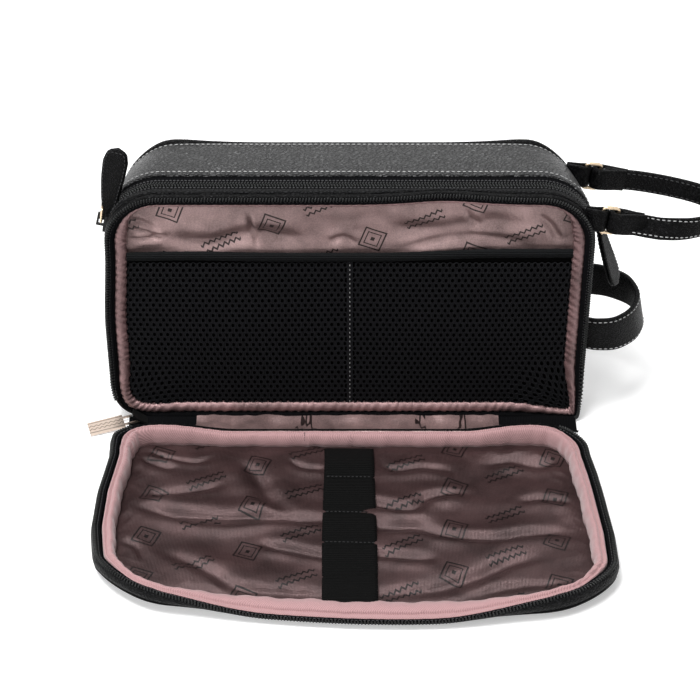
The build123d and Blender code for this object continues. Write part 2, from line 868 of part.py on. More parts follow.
def leather_puller(pivot, direction, width_direction):
    """Two plies of leather sewn to a leaf shape, with a fold that holds the link."""
    fold = pivot + direction * link_length
    leaf_plane = Plane(origin=fold, x_dir=width_direction, z_dir=width_direction.cross(direction))
    root_radius = puller_root_width / 2
    tip_radius = puller_width / 2
    with BuildPart() as puller:
        with BuildSketch(leaf_plane.offset(-puller_thickness / 2)):
            with BuildLine():
                root_arc = CenterArc((0, 0), root_radius, 180, 180)
                tip_arc = CenterArc((0, puller_length - tip_radius), tip_radius, 0, 180)
                Line(root_arc @ 0, tip_arc @ 1)
                Line(root_arc @ 1, tip_arc @ 0)
            make_face()
        extrude(amount=puller_thickness)
        with BuildSketch(Plane(origin=fold, z_dir=across_chain).offset(-sleeve_length / 2)):
            Circle(sleeve_radius)
        extrude(amount=sleeve_length)
        with BuildSketch(Plane(origin=fold, z_dir=across_chain).offset(-link_width)):
            Circle(sleeve_hole)
        extrude(amount=2 * link_width, mode=Mode.SUBTRACT)
    return puller.part


with BuildPart() as pull_link_left:
    add(pull_link(left_pivot, left_direction))
pull_link_left.part.label = "pull_link_left"

with BuildPart() as pull_link_right:
    add(pull_link(right_pivot, right_direction))
pull_link_right.part.label = "pull_link_right"

with BuildPart() as leather_puller_left:
    add(leather_puller(left_pivot, left_direction, left_direction.cross(across_chain)))
leather_puller_left.part.label = "leather_puller_left"

with BuildPart() as leather_puller_right:
    add(leather_puller(right_pivot, right_direction, across_chain))
leather_puller_right.part.label = "leather_puller_right"

yaw = math.radians(pull_yaw)
drop = math.radians(pull_drop)
pull_direction = Vector(
    -math.cos(yaw) * math.cos(drop), -math.sin(yaw) * math.cos(drop), -math.sin(drop)
)
pull_across = Vector(math.sin(yaw), -math.cos(yaw), 0)
pull_plane = Plane(origin=front_pivot, x_dir=pull_direction, z_dir=pull_direction.cross(pull_across))
slot_width = link_width - 2 * pull_bar
slot_length = bridge_length
with BuildPart() as front_pull:
    with BuildSketch(pull_plane.offset(-pull_plate_thickness / 2)):
        with Locations((-pull_bar / 2, 0)):
            Rectangle(slot_length + 2 * pull_bar, link_width, align=(Align.MIN, Align.CENTER))
        with Locations((slot_length + pull_bar / 2, 0)):
            Rectangle(pull_plate_length, pull_plate_width, align=(Align.MIN, Align.CENTER))
        with Locations((pull_bar / 2, 0)):
            Rectangle(slot_length, slot_width, align=(Align.MIN, Align.CENTER), mode=Mode.SUBTRACT)
    extrude(amount=pull_plate_thickness)
front_pull.part.label = "front_pull"

# Write one file per piece

pieces = [
    rear_band,
    front_band,
    lower_gusset,
    back_panel,
    rear_piping,
    front_piping,
    base_board,
    back_board,
    main_lining,
    divider_board,
    divider_lining,
    recess_lining,
    frame_binding,
    body_zip_tape,
    body_zip_teeth,
    main_zip_rear_tape,
    main_zip_front_tape,
    main_zip_rear_teeth,
    main_zip_front_teeth,
    zip_end_tab_left,
    zip_end_tab_right,
    mesh_pocket,
    mesh_binding,
    mesh_centre_tape,
    flap_panel,
    flap_piping,
    flap_band,
    flap_board,
    flap_lining,
    flap_binding,
    flap_zip_tape,
    flap_zip_teeth,
    hinge_gusset,
    hinge_lining,
    elastic_loops,
    side_handle,
    strap_tab_front,
    strap_tab_rear,
    ring_front,
    ring_rear,
    carry_strap,
    main_slider_left,
    main_slider_right,
    front_slider,
    pull_link_left,
    pull_link_right,
    leather_puller_left,
    leather_puller_right,
    front_pull,
]
for piece in pieces:
    export_step(piece.part, f"parts/{piece.part.label}.step")

print("flap axis", flap_axis_y, flap_axis_z)
print("pull pivots", left_pivot, right_pivot, front_pivot, "pull axis", pull_across)
for eye in (front_eye, rear_eye, strap_front):
    print("ring eye", strap_plane.from_local_coords(Vector(*eye, 0)))
print("strap axis", strap_plane.z_dir)
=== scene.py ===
import json
import math

import bpy
import numpy as np
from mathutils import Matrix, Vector, noise


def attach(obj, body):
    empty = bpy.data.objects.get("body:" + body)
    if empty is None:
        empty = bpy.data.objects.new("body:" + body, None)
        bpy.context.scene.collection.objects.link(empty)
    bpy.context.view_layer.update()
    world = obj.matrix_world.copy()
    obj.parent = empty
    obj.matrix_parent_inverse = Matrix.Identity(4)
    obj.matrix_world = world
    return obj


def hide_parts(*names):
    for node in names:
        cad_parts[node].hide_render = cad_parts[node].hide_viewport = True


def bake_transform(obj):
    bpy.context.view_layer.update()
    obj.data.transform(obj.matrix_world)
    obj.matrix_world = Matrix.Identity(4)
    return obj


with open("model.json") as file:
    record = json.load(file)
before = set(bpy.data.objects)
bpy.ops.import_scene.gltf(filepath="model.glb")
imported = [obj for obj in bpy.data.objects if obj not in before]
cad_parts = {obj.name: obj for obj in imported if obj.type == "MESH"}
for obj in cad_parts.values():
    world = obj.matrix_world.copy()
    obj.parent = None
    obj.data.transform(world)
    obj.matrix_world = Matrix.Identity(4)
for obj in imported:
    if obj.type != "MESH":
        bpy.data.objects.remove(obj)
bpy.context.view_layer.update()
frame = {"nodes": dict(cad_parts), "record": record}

# Looks of a black leather toiletry bag, standing with its front flap open on the floor.
# Points are worked out in millimetres in the model's frame and scaled to metres in piece().
# The front is at negative y. A profile is a list of (inset, depth) pairs: the inset from the
# outline, and the depth along y on the body or the height above the floor on the flap.
MM = 0.001

# Sizes shared with the CAD model
BAG_WIDTH = 260.0
BAG_HEIGHT = 150.0
CORNER = 30.0
TAPER = 6.0 / 130.0
FRONT_CORD_Y = -25.0
FRONT_BAND_Y = -23.2
ZIP_FRONT_Y = -19.0
CHAIN_Y = -14.0
ZIP_BACK_Y = -5.0
REAR_BAND_END_Y = 25.5
REAR_CORD_Y = 27.75
BACK_Y = 30.0
DIVIDER_Y = -19.5
MESH_Y = -25.0
FLAP_HINGE_Y = -40.4
FLAP_DEPTH = 16.0
ZIP_END_HEIGHT = 70.0

# Slack of the soft body in the photo: squared feet, a lean to the left, a swollen front rim
# near the top, and dropped rear corners
FOOT_SQUARED_LEFT, FOOT_SQUARED_RIGHT = 0.28, 0.74
LEFT_LEAN = 3.4
RIM_SWELL, RIM_RISE = 2.4, 0.9
REAR_CORNER_DROP = 2.2

# Slack of the open flap in the photo: how much wider it is at distances from the hinge, how much
# shorter it lies, and how far its near corners are drawn in and lifted off the floor
FLAP_SPREAD_LEFT = (
    (0, 12, 21, 30, 48, 65, 95, 118, 132, 150),
    (0.03, 0.03, 0.005, 0, 0.015, 0.03, 0.034, 0.012, 0, 0),
)
FLAP_SPREAD_RIGHT = (
    (0, 12, 21, 30, 48, 65, 82, 98, 150),
    (-0.013, -0.013, -0.002, 0.002, 0.022, 0.035, 0.045, 0.055, 0.055),
)
HINGE_CORNER_SPREAD = 2.5
HINGE_SLACK = 5.6
SHORTER_LEFT, SHORTER_LESS_RIGHT = 15, 4
NEAR_CORNER_IN, NEAR_CORNER_LESS_RIGHT = 6.4, 1.2
NEAR_CORNER_LIFT, LIFT_LESS_RIGHT = 6.4, 2.0
NEAR_WALL_LEAN = 10.5
FLAP_HEIGHT, HINGE_SAG, NEAR_SAG = 15.5, 5.0, 10.8

# Outline shared by the body and the flap

RIM_HALF = BAG_WIDTH / 2 - CORNER
RIM_SIDE = BAG_HEIGHT - 2 * CORNER
RIM_ARC = math.pi * CORNER / 2
RIM_CORNERS = (("arc", RIM_ARC), ("line", RIM_SIDE), ("arc", RIM_ARC))
RIM_LEGS = (("line", RIM_HALF), *RIM_CORNERS, ("line", 2 * RIM_HALF), *RIM_CORNERS, ("line", RIM_HALF))
RIM_LENGTH = sum(length for kind, length in RIM_LEGS)


def rim(stations):
    """Outline points (across, up) and outward normals, clockwise from the middle of the bottom edge."""
    points, normals = [], []
    for station in stations:
        left = station % RIM_LENGTH
        point = np.zeros(2)
        out = np.array([0.0, -1.0])
        for kind, length in RIM_LEGS:
            step = min(left, length)
            if kind == "line":
                point = point + step * np.array([out[1], -out[0]])
            else:
                angle = -step / CORNER
                turn = np.array([[math.cos(angle), -math.sin(angle)], [math.sin(angle), math.cos(angle)]])
                centre = point - CORNER * out
                out = turn @ out
                point = centre + CORNER * out
            left -= step
            if left <= 0:
                break
        points.append(point)
        normals.append(out)
    return np.array(points), np.array(normals)


def evenly(start, end, pitch):
    """Distances along the rim, about a pitch apart."""
    count = max(2, int(round((end - start) / pitch)) + 1)
    return np.linspace(start, end, count)


def whole_rim(pitch):
    """Distances round the whole rim, with the last one pitch before the first."""
    return np.linspace(0, RIM_LENGTH, int(round(RIM_LENGTH / pitch)), endpoint=False)


def ease(value, low, high):
    """Smooth step from 0 at low to 1 at high."""
    t = np.clip((np.asarray(value, float) - low) / (high - low), 0, 1)
    return t * t * (3 - 2 * t)


def as_arrays(*values):
    """Arrays of numbers, spread to one shape."""
    return np.broadcast_arrays(*(np.asarray(value, float) for value in values))


def body_place(across, up, depth):
    """A point of the soft body: its outline coordinates at a depth."""
    across, up, depth = as_arrays(across, up, depth)
    share = np.clip((depth - ZIP_BACK_Y) / (BACK_Y - ZIP_BACK_Y), 0, 1)
    swell = ease(-depth, 17, 25) * ease(up, 118, 146) * np.exp(-(((across - 50) / 24) ** 2))
    beside = BAG_WIDTH / 2 - np.abs(across)
    at_foot = (1 - ease(beside, 10, 42)) * (1 - ease(up, 10, 42))
    tight = np.where(across > 0, FOOT_SQUARED_RIGHT, FOOT_SQUARED_LEFT) * at_foot
    lean = LEFT_LEAN * (1 - ease(up, 62, 122)) * np.clip(-across / (BAG_WIDTH / 2), 0, 1)
    squared = np.sign(across) * (BAG_WIDTH / 2 - beside * (1 - tight))
    drop = REAR_CORNER_DROP * share * ease(np.abs(across), 90, 124) * ease(up, 108, 146)
    x = squared * (1 - share * TAPER) - lean - np.sign(across) * drop
    y = depth + RIM_SWELL * swell
    z = up * (1 - tight) + RIM_RISE * swell - drop
    return np.stack([x, y, z], -1)


def flap_place(across, along, height):
    """A point of the open flap: its outline coordinates, from the hinge side, at a height in the unbent flap."""
    across, along, height = as_arrays(across, along, height)
    beside = np.abs(across)
    right = ease(across, -60, 60)
    spread = np.where(across < 0, np.interp(along, *FLAP_SPREAD_LEFT), np.interp(along, *FLAP_SPREAD_RIGHT))
    hinge_corner = ease(beside, 85, 118) * (1 - ease(along, 6, 34))
    x = across * (1 + spread) + HINGE_CORNER_SPREAD * np.sign(across) * hinge_corner
    shorter = (SHORTER_LEFT - SHORTER_LESS_RIGHT * right) * (np.clip(along, 0, None) / BAG_HEIGHT) ** 0.8
    near_middle = (1 - np.clip((beside / 100) ** 2, 0, 1)) * ease(along, 105, 150)
    near_corner = ease(beside, 92, 122) * ease(along, 108, 140)
    y = FLAP_HINGE_Y - HINGE_SLACK - along + shorter - NEAR_WALL_LEAN * near_middle * height / FLAP_DEPTH
    y = y + (NEAR_CORNER_IN - NEAR_CORNER_LESS_RIGHT * right) * near_corner
    hinge_middle = (1 - ease(beside, 60, 100)) * (1 - ease(along, 5, 35))
    near_low = (1 - ease(beside, 40, 110)) * ease(along, 112, 150)
    rim_height = FLAP_HEIGHT - HINGE_SAG * hinge_middle - NEAR_SAG * near_low
    lifted = (NEAR_CORNER_LIFT - LIFT_LESS_RIGHT * right) * ease(beside, 36, 112) * ease(along, 88, 142)
    z = height * rim_height / FLAP_DEPTH + lifted * (1 - np.clip(height / FLAP_DEPTH, 0, 1))
    return np.stack([x, y, z], -1)


BODY_OF = {body_place: "body", flap_place: "flap"}


def inside(across, up, inset):
    """Pulls points that lie outside the rounded outline, inset by this much, onto it."""
    half_w, half_h = BAG_WIDTH / 2 - inset, BAG_HEIGHT / 2 - inset
    radius = max(CORNER - inset, 1.0)
    x, y = across, up - BAG_HEIGHT / 2
    core_x = np.clip(x, -(half_w - radius), half_w - radius)
    core_y = np.clip(y, -(half_h - radius), half_h - radius)
    dx, dy = x - core_x, y - core_y
    far = np.hypot(dx, dy)
    pull = np.where(far > radius, radius / np.maximum(far, 1e-9), 1.0)
    return core_x + dx * pull, core_y + dy * pull + BAG_HEIGHT / 2


def edge_distance(across, up, inset):
    """Distance in from the inset outline's straight sides."""
    return np.minimum(
        BAG_WIDTH / 2 - inset - np.abs(across), BAG_HEIGHT / 2 - inset - np.abs(up - BAG_HEIGHT / 2)
    )


# Lines of points

def unit(vectors):
    """Vectors at length one."""
    vectors = np.asarray(vectors, float)
    return vectors / np.linalg.norm(vectors, axis=-1, keepdims=True)


def tangents_of(points):
    """Unit tangents along a line of points."""
    return unit(np.gradient(points, axis=0))


def square_to(way, tangents):
    """The part of a direction that is square to each tangent, at length one."""
    return unit(way - np.sum(way * tangents, 1, keepdims=True) * tangents)


def distances(points):
    """How far along a line each of its points lies."""
    return np.concatenate([[0], np.cumsum(np.linalg.norm(np.diff(points, axis=0), axis=1))])


def resampled(values, distance, places):
    """Values given at distances, read off at other places."""
    return np.stack([np.interp(places, distance, column) for column in values.T], -1)


def smooth_line(points, count):
    """Evenly spaced points on a smooth curve through the given ones."""
    points = np.asarray(points, float)
    padded = np.vstack([2 * points[0] - points[1], points, 2 * points[-1] - points[-2]])
    dense = []
    for index in range(1, len(padded) - 2):
        p0, p1, p2, p3 = padded[index - 1 : index + 3]
        linear, square, cube = p2 - p0, 2 * p0 - 5 * p1 + 4 * p2 - p3, 3 * p1 - p0 - 3 * p2 + p3
        for t in np.linspace(0, 1, 40, endpoint=False):
            dense.append(0.5 * (2 * p1 + linear * t + square * t**2 + cube * t**3))
    dense.append(padded[-2])
    dense = np.array(dense)
    distance = distances(dense)
    return resampled(dense, distance, np.linspace(0, distance[-1], count))


def rounded_loop(length, half, radius, steps):
    """Points of a rounded rectangle, from 0 to a length one way and a half width to each side."""
    points = []
    for x, y, turn in (
        (radius, radius - half, 180),
        (length - radius, radius - half, 270),
        (length - radius, half - radius, 0),
        (radius, half - radius, 90),
    ):
        for k in range(steps):
            angle = math.radians(turn + 90 / (steps - 1) * k)
            points.append((x + radius * math.cos(angle), y + radius * math.sin(angle)))
    return points


def wave_noise(x, y, size, seed):
    """Smooth noise over a plane, about a size across."""
    offset = Vector((seed * 17.3, seed * 5.1, seed * 9.7))
    values = [noise.noise(Vector((u, v, 0)) / size + offset) for u, v in zip(np.ravel(x), np.ravel(y))]
    return np.reshape(values, np.shape(x))


def distance_to_line(across, up, line):
    """Distance from points to a line of points, signed by the side they lie on, and the share along it."""
    line = np.asarray(line, float)
    best = np.full(across.shape, 1e9)
    side = np.ones(across.shape)
    share = np.zeros(across.shape)
    for index in range(len(line) - 1):
        start, step = line[index], line[index + 1] - line[index]
        t = np.clip(((across - start[0]) * step[0] + (up - start[1]) * step[1]) / (step @ step), 0, 1)
        dx, dy = across - start[0] - t * step[0], up - start[1] - t * step[1]
        far = np.hypot(dx, dy)
        nearer = far < best
        best = np.where(nearer, far, best)
        side = np.where(nearer, np.sign(step[0] * dy - step[1] * dx), side)
        share = np.where(nearer, (index + t) / (len(line) - 1), share)
    return best * np.where(side == 0, 1, side), share


def fold(across, up, line, depth, width):
    """A cloth fold along a line: a valley with a ridge on each side, fading out at its ends."""
    distance, share = distance_to_line(across, up, smooth_line(line, 24))
    fade = ease(share, 0, 0.3) * (1 - ease(share, 0.7, 1))
    valley = np.exp(-((distance / width) ** 2))
    ridge = np.exp(-(((distance - 1.9 * width) / (1.5 * width)) ** 2))
    far_ridge = np.exp(-(((distance + 2.1 * width) / (1.7 * width)) ** 2))
    return depth * fade * (0.55 * ridge + 0.35 * far_ridge - valley)


# Mesh making

SLOTS = {entry["node"]: entry["material_slot"] for entry in frame["record"]["subparts"]}


def piece(name, points, faces, material, body, replaced=()):
    """A mesh object from points in millimetres, riding on a body and standing for CAD nodes."""
    mesh = bpy.data.meshes.new(name)
    mesh.from_pydata((np.asarray(points, float).reshape(-1, 3) * MM).tolist(), [], faces)
    mesh.update()
    mesh.polygons.foreach_set("use_smooth", [True] * len(mesh.polygons))
    mesh.materials.append(material)
    made = bpy.data.objects.new(name, mesh)
    bpy.context.scene.collection.objects.link(made)
    if body:
        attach(made, body)
    if replaced:
        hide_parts(*replaced)
    return made


def grid_faces(rows, columns, close_rows=False, close_columns=False):
    """Quads of a grid of points, row by row."""
    last_row = rows if close_rows else rows - 1
    last_column = columns if close_columns else columns - 1
    i, j = np.meshgrid(np.arange(last_row), np.arange(last_column), indexing="ij")
    near, far = i * columns, ((i + 1) % rows) * columns
    following = (j + 1) % columns
    quads = np.stack([near + j, near + following, far + following, far + j], -1)
    return quads.reshape(-1, 4).tolist()


def capped(name, grid, material, body, replaced=()):
    """A closed section carried along a line, with a face at each end."""
    count, sides = grid.shape[:2]
    faces = grid_faces(count, sides, False, True)
    faces.append(list(range(sides))[::-1])
    faces.append([(count - 1) * sides + k for k in range(sides)])
    return piece(name, grid, faces, material, body, replaced)


def swept(stations, profile, place):
    """Grid of points: a profile at each rim station. The profile may be one per station."""
    points, normals = rim(stations)
    profile = np.asarray(profile, float)
    if profile.ndim == 2:
        profile = np.repeat(profile[None], len(stations), 0)
    inset = profile[..., 0]
    across = points[:, None, 0] - normals[:, None, 0] * inset
    up = points[:, None, 1] - normals[:, None, 1] * inset
    return place(across, up, profile[..., 1])


def band(name, stations, profile, place, material, *replaced, closed_rim=True):
    """A closed profile swept round the rim."""
    grid = swept(stations, profile, place)
    if not closed_rim:
        return capped(name, grid, material, BODY_OF[place], replaced)
    return piece(name, grid, grid_faces(*grid.shape[:2], True, True), material, BODY_OF[place], replaced)


def round_profile(inset, depth, radius):
    """Circle as a profile."""
    angles = np.linspace(0, 2 * math.pi, 12, endpoint=False)
    return np.stack([inset + radius * np.cos(angles), depth + radius * np.sin(angles)], -1)


def rim_line(stations, inset, depth, place):
    """Points along the rim at one inset and depth, and their outward normals."""
    points = swept(stations, [(inset, depth)], place)[:, 0]
    outer = swept(stations, [(inset - 1, depth)], place)[:, 0]
    return points, unit(outer - points)


def flat_sheet(name, inset, columns, rows, place, height, material, *replaced, flip=False):
    """A sheet over the rounded outline; height gives its depth or height from (across, up)."""
    across, up = np.meshgrid(
        np.linspace(-BAG_WIDTH / 2 + inset, BAG_WIDTH / 2 - inset, columns),
        np.linspace(inset, BAG_HEIGHT - inset, rows),
    )
    across, up = inside(across, up, inset)
    faces = grid_faces(rows, columns)
    if flip:
        faces = [face[::-1] for face in faces]
    return piece(name, place(across, up, height(across, up)), faces, material, BODY_OF[place], replaced)


def bead(length, width, height, rings, sides=8):
    """Small ellipsoid, squared off a little, as points and faces. Its length is along x."""
    points = [(-length / 2, 0, 0)]
    for ring in range(1, rings + 1):
        t = -1 + 2 * ring / (rings + 1)
        swell = (1 - abs(t) ** 3) ** 0.5
        for side in range(sides):
            angle = 2 * math.pi * side / sides
            points.append((t * length / 2, swell * width / 2 * math.cos(angle), swell * height / 2 * math.sin(angle)))
    points.append((length / 2, 0, 0))
    faces = []
    for side in range(sides):
        following = (side + 1) % sides
        faces.append([0, 1 + following, 1 + side])
        for ring in range(rings - 1):
            low, high = 1 + ring * sides, 1 + (ring + 1) * sides
            faces.append([low + side, low + following, high + following, high + side])
        top = 1 + (rings - 1) * sides
        faces.append([top + side, top + following, len(points) - 1])
    return np.array(points, float), faces


def beads(name, size, rings, centres, axes, material, body, replaced=()):
    """One mesh of a bead repeated at each centre, turned to its axes."""
    shape, shape_faces = bead(*size, rings)
    points = centres[:, None]
    for k, axis in enumerate(axes):
        points = points + shape[None, :, k, None] * axis[:, None]
    faces = []
    for index in range(len(centres)):
        faces.extend([index * len(shape) + corner for corner in face] for face in shape_faces)
    return piece(name, points, faces, material, body, replaced)


STITCH_LIFT = 0.1


def sew(name, points, normals, material, body, pitch=2.9, size=(2.1, 0.55, 0.45)):
    """A row of stitches laid along a line of points, on the surface with these normals."""
    normals = np.broadcast_to(np.asarray(normals, float), points.shape)
    distance = distances(points)
    places = np.arange(pitch / 2, distance[-1], pitch)
    centres = resampled(points, distance, places)
    up = unit(resampled(normals, distance, places))
    tangents = tangents_of(centres)
    axes = (tangents, unit(np.cross(up, tangents)), up)
    return beads(name, size, 4, centres + STITCH_LIFT * up, axes, material, body)


def ribbon(name, line, width_way, width, thickness, body, *replaced, edge=0.8):
    """A leather strap along a line of points: flat sides across width_way, with rounded edges."""
    tangents = tangents_of(line)
    wide = square_to(width_way, tangents)
    thick = np.cross(tangents, wide)
    half, deep = width / 2, thickness / 2
    profile = []
    for sign in (1, -1):
        for k in range(6):
            angle = math.pi * (k / 5 - 0.5 * sign)
            profile.append((sign * (half - edge) + edge * math.cos(angle), deep * math.sin(angle)))
        profile += [(sign * half * 0.5, sign * deep * 1.08), (-sign * half * 0.5, sign * deep * 1.08)]
    profile = np.array(profile)
    grid = line[:, None] + profile[None, :, 0, None] * wide[:, None] + profile[None, :, 1, None] * thick[:, None]
    capped(name, grid, SMOOTH_LEATHER, body, replaced)
    return wide, thick


def wire(name, line, radius, body, *replaced):
    """A closed loop of round gold wire along a line of points."""
    line = np.asarray(line, float)
    tangents = unit(np.roll(line, -1, 0) - np.roll(line, 1, 0))
    side = square_to(np.cross(line[1] - line[0], line[len(line) // 3] - line[0]), tangents)
    other = np.cross(tangents, side)
    angles = np.linspace(0, 2 * math.pi, 12, endpoint=False)[None, :, None]
    grid = line[:, None] + radius * (np.cos(angles) * side[:, None] + np.sin(angles) * other[:, None])
    return piece(name, grid, grid_faces(*grid.shape[:2], True, True), GOLD, body, replaced)


# Materials

class Graph:
    """Short calls for the nodes of a material or of the world."""

    def __init__(self, tree):
        self.nodes, self.links = tree.nodes, tree.links

    def feed(self, socket, value):
        """Sets an input to a value, or links another node's output to it."""
        if isinstance(value, bpy.types.NodeSocket):
            self.links.new(value, socket)
        else:
            socket.default_value = value

    def join(self, kind, *values, **settings):
        """The first output of a new node, with its inputs fed in order."""
        made = self.nodes.new(kind)
        for key, value in settings.items():
            setattr(made, key, value)
        for socket, value in zip(made.inputs, values):
            self.feed(socket, value)
        return made.outputs[0]

    def math(self, operation, *values):
        """The result of one math node on outputs or numbers."""
        return self.join("ShaderNodeMath", *values, operation=operation)

    def node(self, kind, output, **values):
        """An output of a new node. Keys with a capital are its inputs, the others its settings."""
        made = self.nodes.new(kind)
        for key, value in values.items():
            if key[0].isupper():
                self.feed(made.inputs[key.replace("_", " ")], value)
            else:
                setattr(made, key, value)
        return made.outputs[output]

    def seen(self):
        """1 where the camera looks, directly or through a reflection or a refraction, and 0 elsewhere."""
        ray = self.nodes.new("ShaderNodeLightPath").outputs
        mirrored = self.math("MAXIMUM", ray["Is Glossy Ray"], ray["Is Transmission Ray"])
        return self.math("MAXIMUM", ray["Is Camera Ray"], mirrored)


class Shader(Graph):
    """A new material with its plain values set."""

    def __init__(self, name, colour, roughness, metallic=0.0, specular=0.5):
        self.material = bpy.data.materials.new(name)
        self.material.use_nodes = True
        super().__init__(self.material.node_tree)
        self.principled = self.nodes["Principled BSDF"]
        self.set("Base Color", (*colour, 1))
        self.set("Roughness", roughness)
        self.set("Metallic", metallic)
        self.set("Specular IOR Level", specular)

    def set(self, name, value):
        """Sets or links an input of the principled shader."""
        self.feed(self.principled.inputs[name], value)

    def position(self):
        """Object coordinates."""
        return self.node("ShaderNodeTexCoord", "Object")

    def mapped(self, scale=(1, 1, 1), turn=0.0, tilt=0.0):
        """Object coordinates, scaled, tilted about y and turned about z."""
        vector = self.position()
        return self.node("ShaderNodeMapping", "Vector", Vector=vector, Scale=scale, Rotation=(0, tilt, turn))

    def axes(self, vector):
        """The three numbers of a vector, by the names X, Y and Z."""
        split = self.nodes.new("ShaderNodeSeparateXYZ")
        self.links.new(vector, split.inputs["Vector"])
        return split.outputs

    def noise(self, vector, scale, detail, output="Fac"):
        """Noise at a scale per metre."""
        return self.node("ShaderNodeTexNoise", output, Vector=vector, Scale=scale, Detail=detail)

    def ribs(self, along, per_metre):
        """A wave along one direction."""
        return self.math("SINE", self.math("MULTIPLY", along, 2 * math.pi * per_metre))

    def tint(self, factor, low, high):
        """Base colour between two colours by a factor."""
        mixed = self.node("ShaderNodeMix", "Result", data_type="RGBA", A=(*low, 1), B=(*high, 1), Factor=factor)
        self.set("Base Color", mixed)
        return mixed

    def bump(self, height, distance, strength=1.0):
        """Bump from a height."""
        self.set("Normal", self.node("ShaderNodeBump", "Normal", Strength=strength, Distance=distance, Height=height))


def shade(colour, factor):
    """A colour made lighter or darker."""
    return tuple(min(1, channel * factor) for channel in colour)


def leather(name, colour, roughness, grain, depth, specular):
    """Pebbled leather: rounded cells with soft creases between them, broken up by noise, with painted shade in the
    creases and painted highlights on the cells.
    """
    made = Shader(name, colour, roughness, specular=specular)
    vector = made.mapped(scale=(0.62, 1, 0.85))
    bend = (0.0011, 0.0011, 0.0011)
    bent = made.noise(vector, 420.0, 2.0, "Color")
    warped = made.join("ShaderNodeVectorMath", bent, bend, vector, operation="MULTIPLY_ADD")
    cells = made.node(
        "ShaderNodeTexVoronoi", "Distance", feature="DISTANCE_TO_EDGE", Vector=warped, Scale=1000 / grain
    )
    fine = made.noise(vector, 2600.0, 3.0)
    broad = made.noise(vector, 60.0, 2.0)
    pebble = made.math("MINIMUM", made.math("MULTIPLY", cells, 2.6), 1.0)
    made.bump(made.math("MULTIPLY_ADD", fine, 0.25, pebble), depth)
    made.set("Roughness", made.math("MULTIPLY_ADD", broad, 0.16, roughness - 0.08))
    # Base colour darker in the creases and lighter on the pebble tops: painted shade and painted highlights standing
    # in for the grain's speckled sheen.
    made.tint(made.math("MULTIPLY", pebble, fine), shade(colour, 0.1), shade(colour, 4.2))
    return made.material


def satin(name, colour, dark, flat_axes, motif=True):
    """Woven satin lining with fine ribs, slub, soft patches of painted light and shade, and a small printed motif."""
    made = Shader(name, colour, 0.34, metallic=0.5, specular=0.4)
    do = made.math
    source = made.position()
    axes = made.axes(source)
    u, v = axes[flat_axes[0]], axes[flat_axes[1]]
    weave = do("MULTIPLY_ADD", made.ribs(v, 1700), 0.5, made.ribs(u, 1400))
    broad = made.noise(source, 55.0, 3.0)
    slub = made.noise(source, 1500.0, 2.0)
    made.bump(do("MULTIPLY_ADD", slub, 2.5, weave), 0.00005, 0.8)
    # Soft broad patches lighter and darker than the cloth are painted light and shade, mixed with the slub of the
    # yarn.
    slub_and_painted_shade = do("MULTIPLY_ADD", do("SUBTRACT", slub, 0.5), 0.9, do("MULTIPLY_ADD", broad, 1.7, -0.35))
    level = do("MAXIMUM", do("MINIMUM", slub_and_painted_shade, 1.0), 0.0)
    ground_with_painted_shade = made.tint(level, shade(colour, 0.5), shade(colour, 1.5))
    if not motif:
        return made.material
    # Lozenges and zigzags by turns, in staggered rows that run at an angle
    angle, pitch = math.radians(24), 0.030
    cosine, sine = math.cos(angle) / pitch, math.sin(angle) / pitch
    across = do("MULTIPLY_ADD", u, cosine, do("MULTIPLY", v, sine))
    along = do("MULTIPLY_ADD", u, -sine, do("MULTIPLY", v, cosine))
    row = do("FLOOR", along)
    shifted = do("MULTIPLY_ADD", row, 0.5, across)
    local_u = do("SUBTRACT", do("FRACT", shifted), 0.5)
    local_v = do("SUBTRACT", do("FRACT", along), 0.5)
    wide = do("ABSOLUTE", local_u)
    diamond = do("ADD", wide, do("ABSOLUTE", local_v))
    outlines = do("ADD", do("COMPARE", diamond, 0.27, 0.020), do("COMPARE", diamond, 0.17, 0.014))
    lozenge = do("ADD", outlines, do("LESS_THAN", diamond, 0.05))
    above = do("SUBTRACT", local_v, do("PINGPONG", local_u, 0.055))
    lines = do("ADD", do("COMPARE", above, 0.04, 0.020), do("COMPARE", above, -0.09, 0.020))
    zigzag = do("MULTIPLY", lines, do("LESS_THAN", wide, 0.36))
    odd = do("FLOORED_MODULO", do("ADD", do("FLOOR", shifted), row), 2.0)
    chosen = made.node("ShaderNodeMix", "Result", Factor=odd, A=lozenge, B=zigzag)
    ink = do("MULTIPLY", do("MINIMUM", chosen, 1.0), 0.95)
    printed = made.node("ShaderNodeMix", "Result", data_type="RGBA", B=(*dark, 1), Factor=ink, A=ground_with_painted_shade)
    made.set("Base Color", printed)
    return made.material


def twill(name, colour):
    """Diagonal twill binding with a nap."""
    made = Shader(name, colour, 0.75, specular=0.25)
    made.set("Sheen Weight", 0.35)
    made.set("Sheen Roughness", 0.5)
    vector = made.mapped(turn=math.radians(38), tilt=math.radians(35))
    diagonal = made.node(
        "ShaderNodeTexWave", "Fac", Vector=vector, Scale=420.0, Distortion=1.6, Detail=2.0, Detail_Scale=4.0
    )
    height = made.math("MULTIPLY_ADD", made.noise(vector, 1500.0, 4.0), 0.8, diagonal)
    made.bump(height, 0.00014, 0.8)
    made.tint(made.math("MULTIPLY", height, 0.55), shade(colour, 0.6), shade(colour, 1.25))
    return made.material


def cloth(name, colour, way, pitch, depth=0.00012, roughness=0.85):
    """Black woven tape or elastic: ribs across one direction."""
    made = Shader(name, colour, roughness, specular=0.03)
    source = made.position()
    ribs = made.ribs(made.axes(source)[way], 1000 / pitch)
    nap = made.noise(source, 1800.0, 3.0)
    made.bump(made.math("MULTIPLY_ADD", nap, 1.2, ribs), depth, 0.8)
    made.tint(nap, shade(colour, 0.5), shade(colour, 1.8))
    return made.material


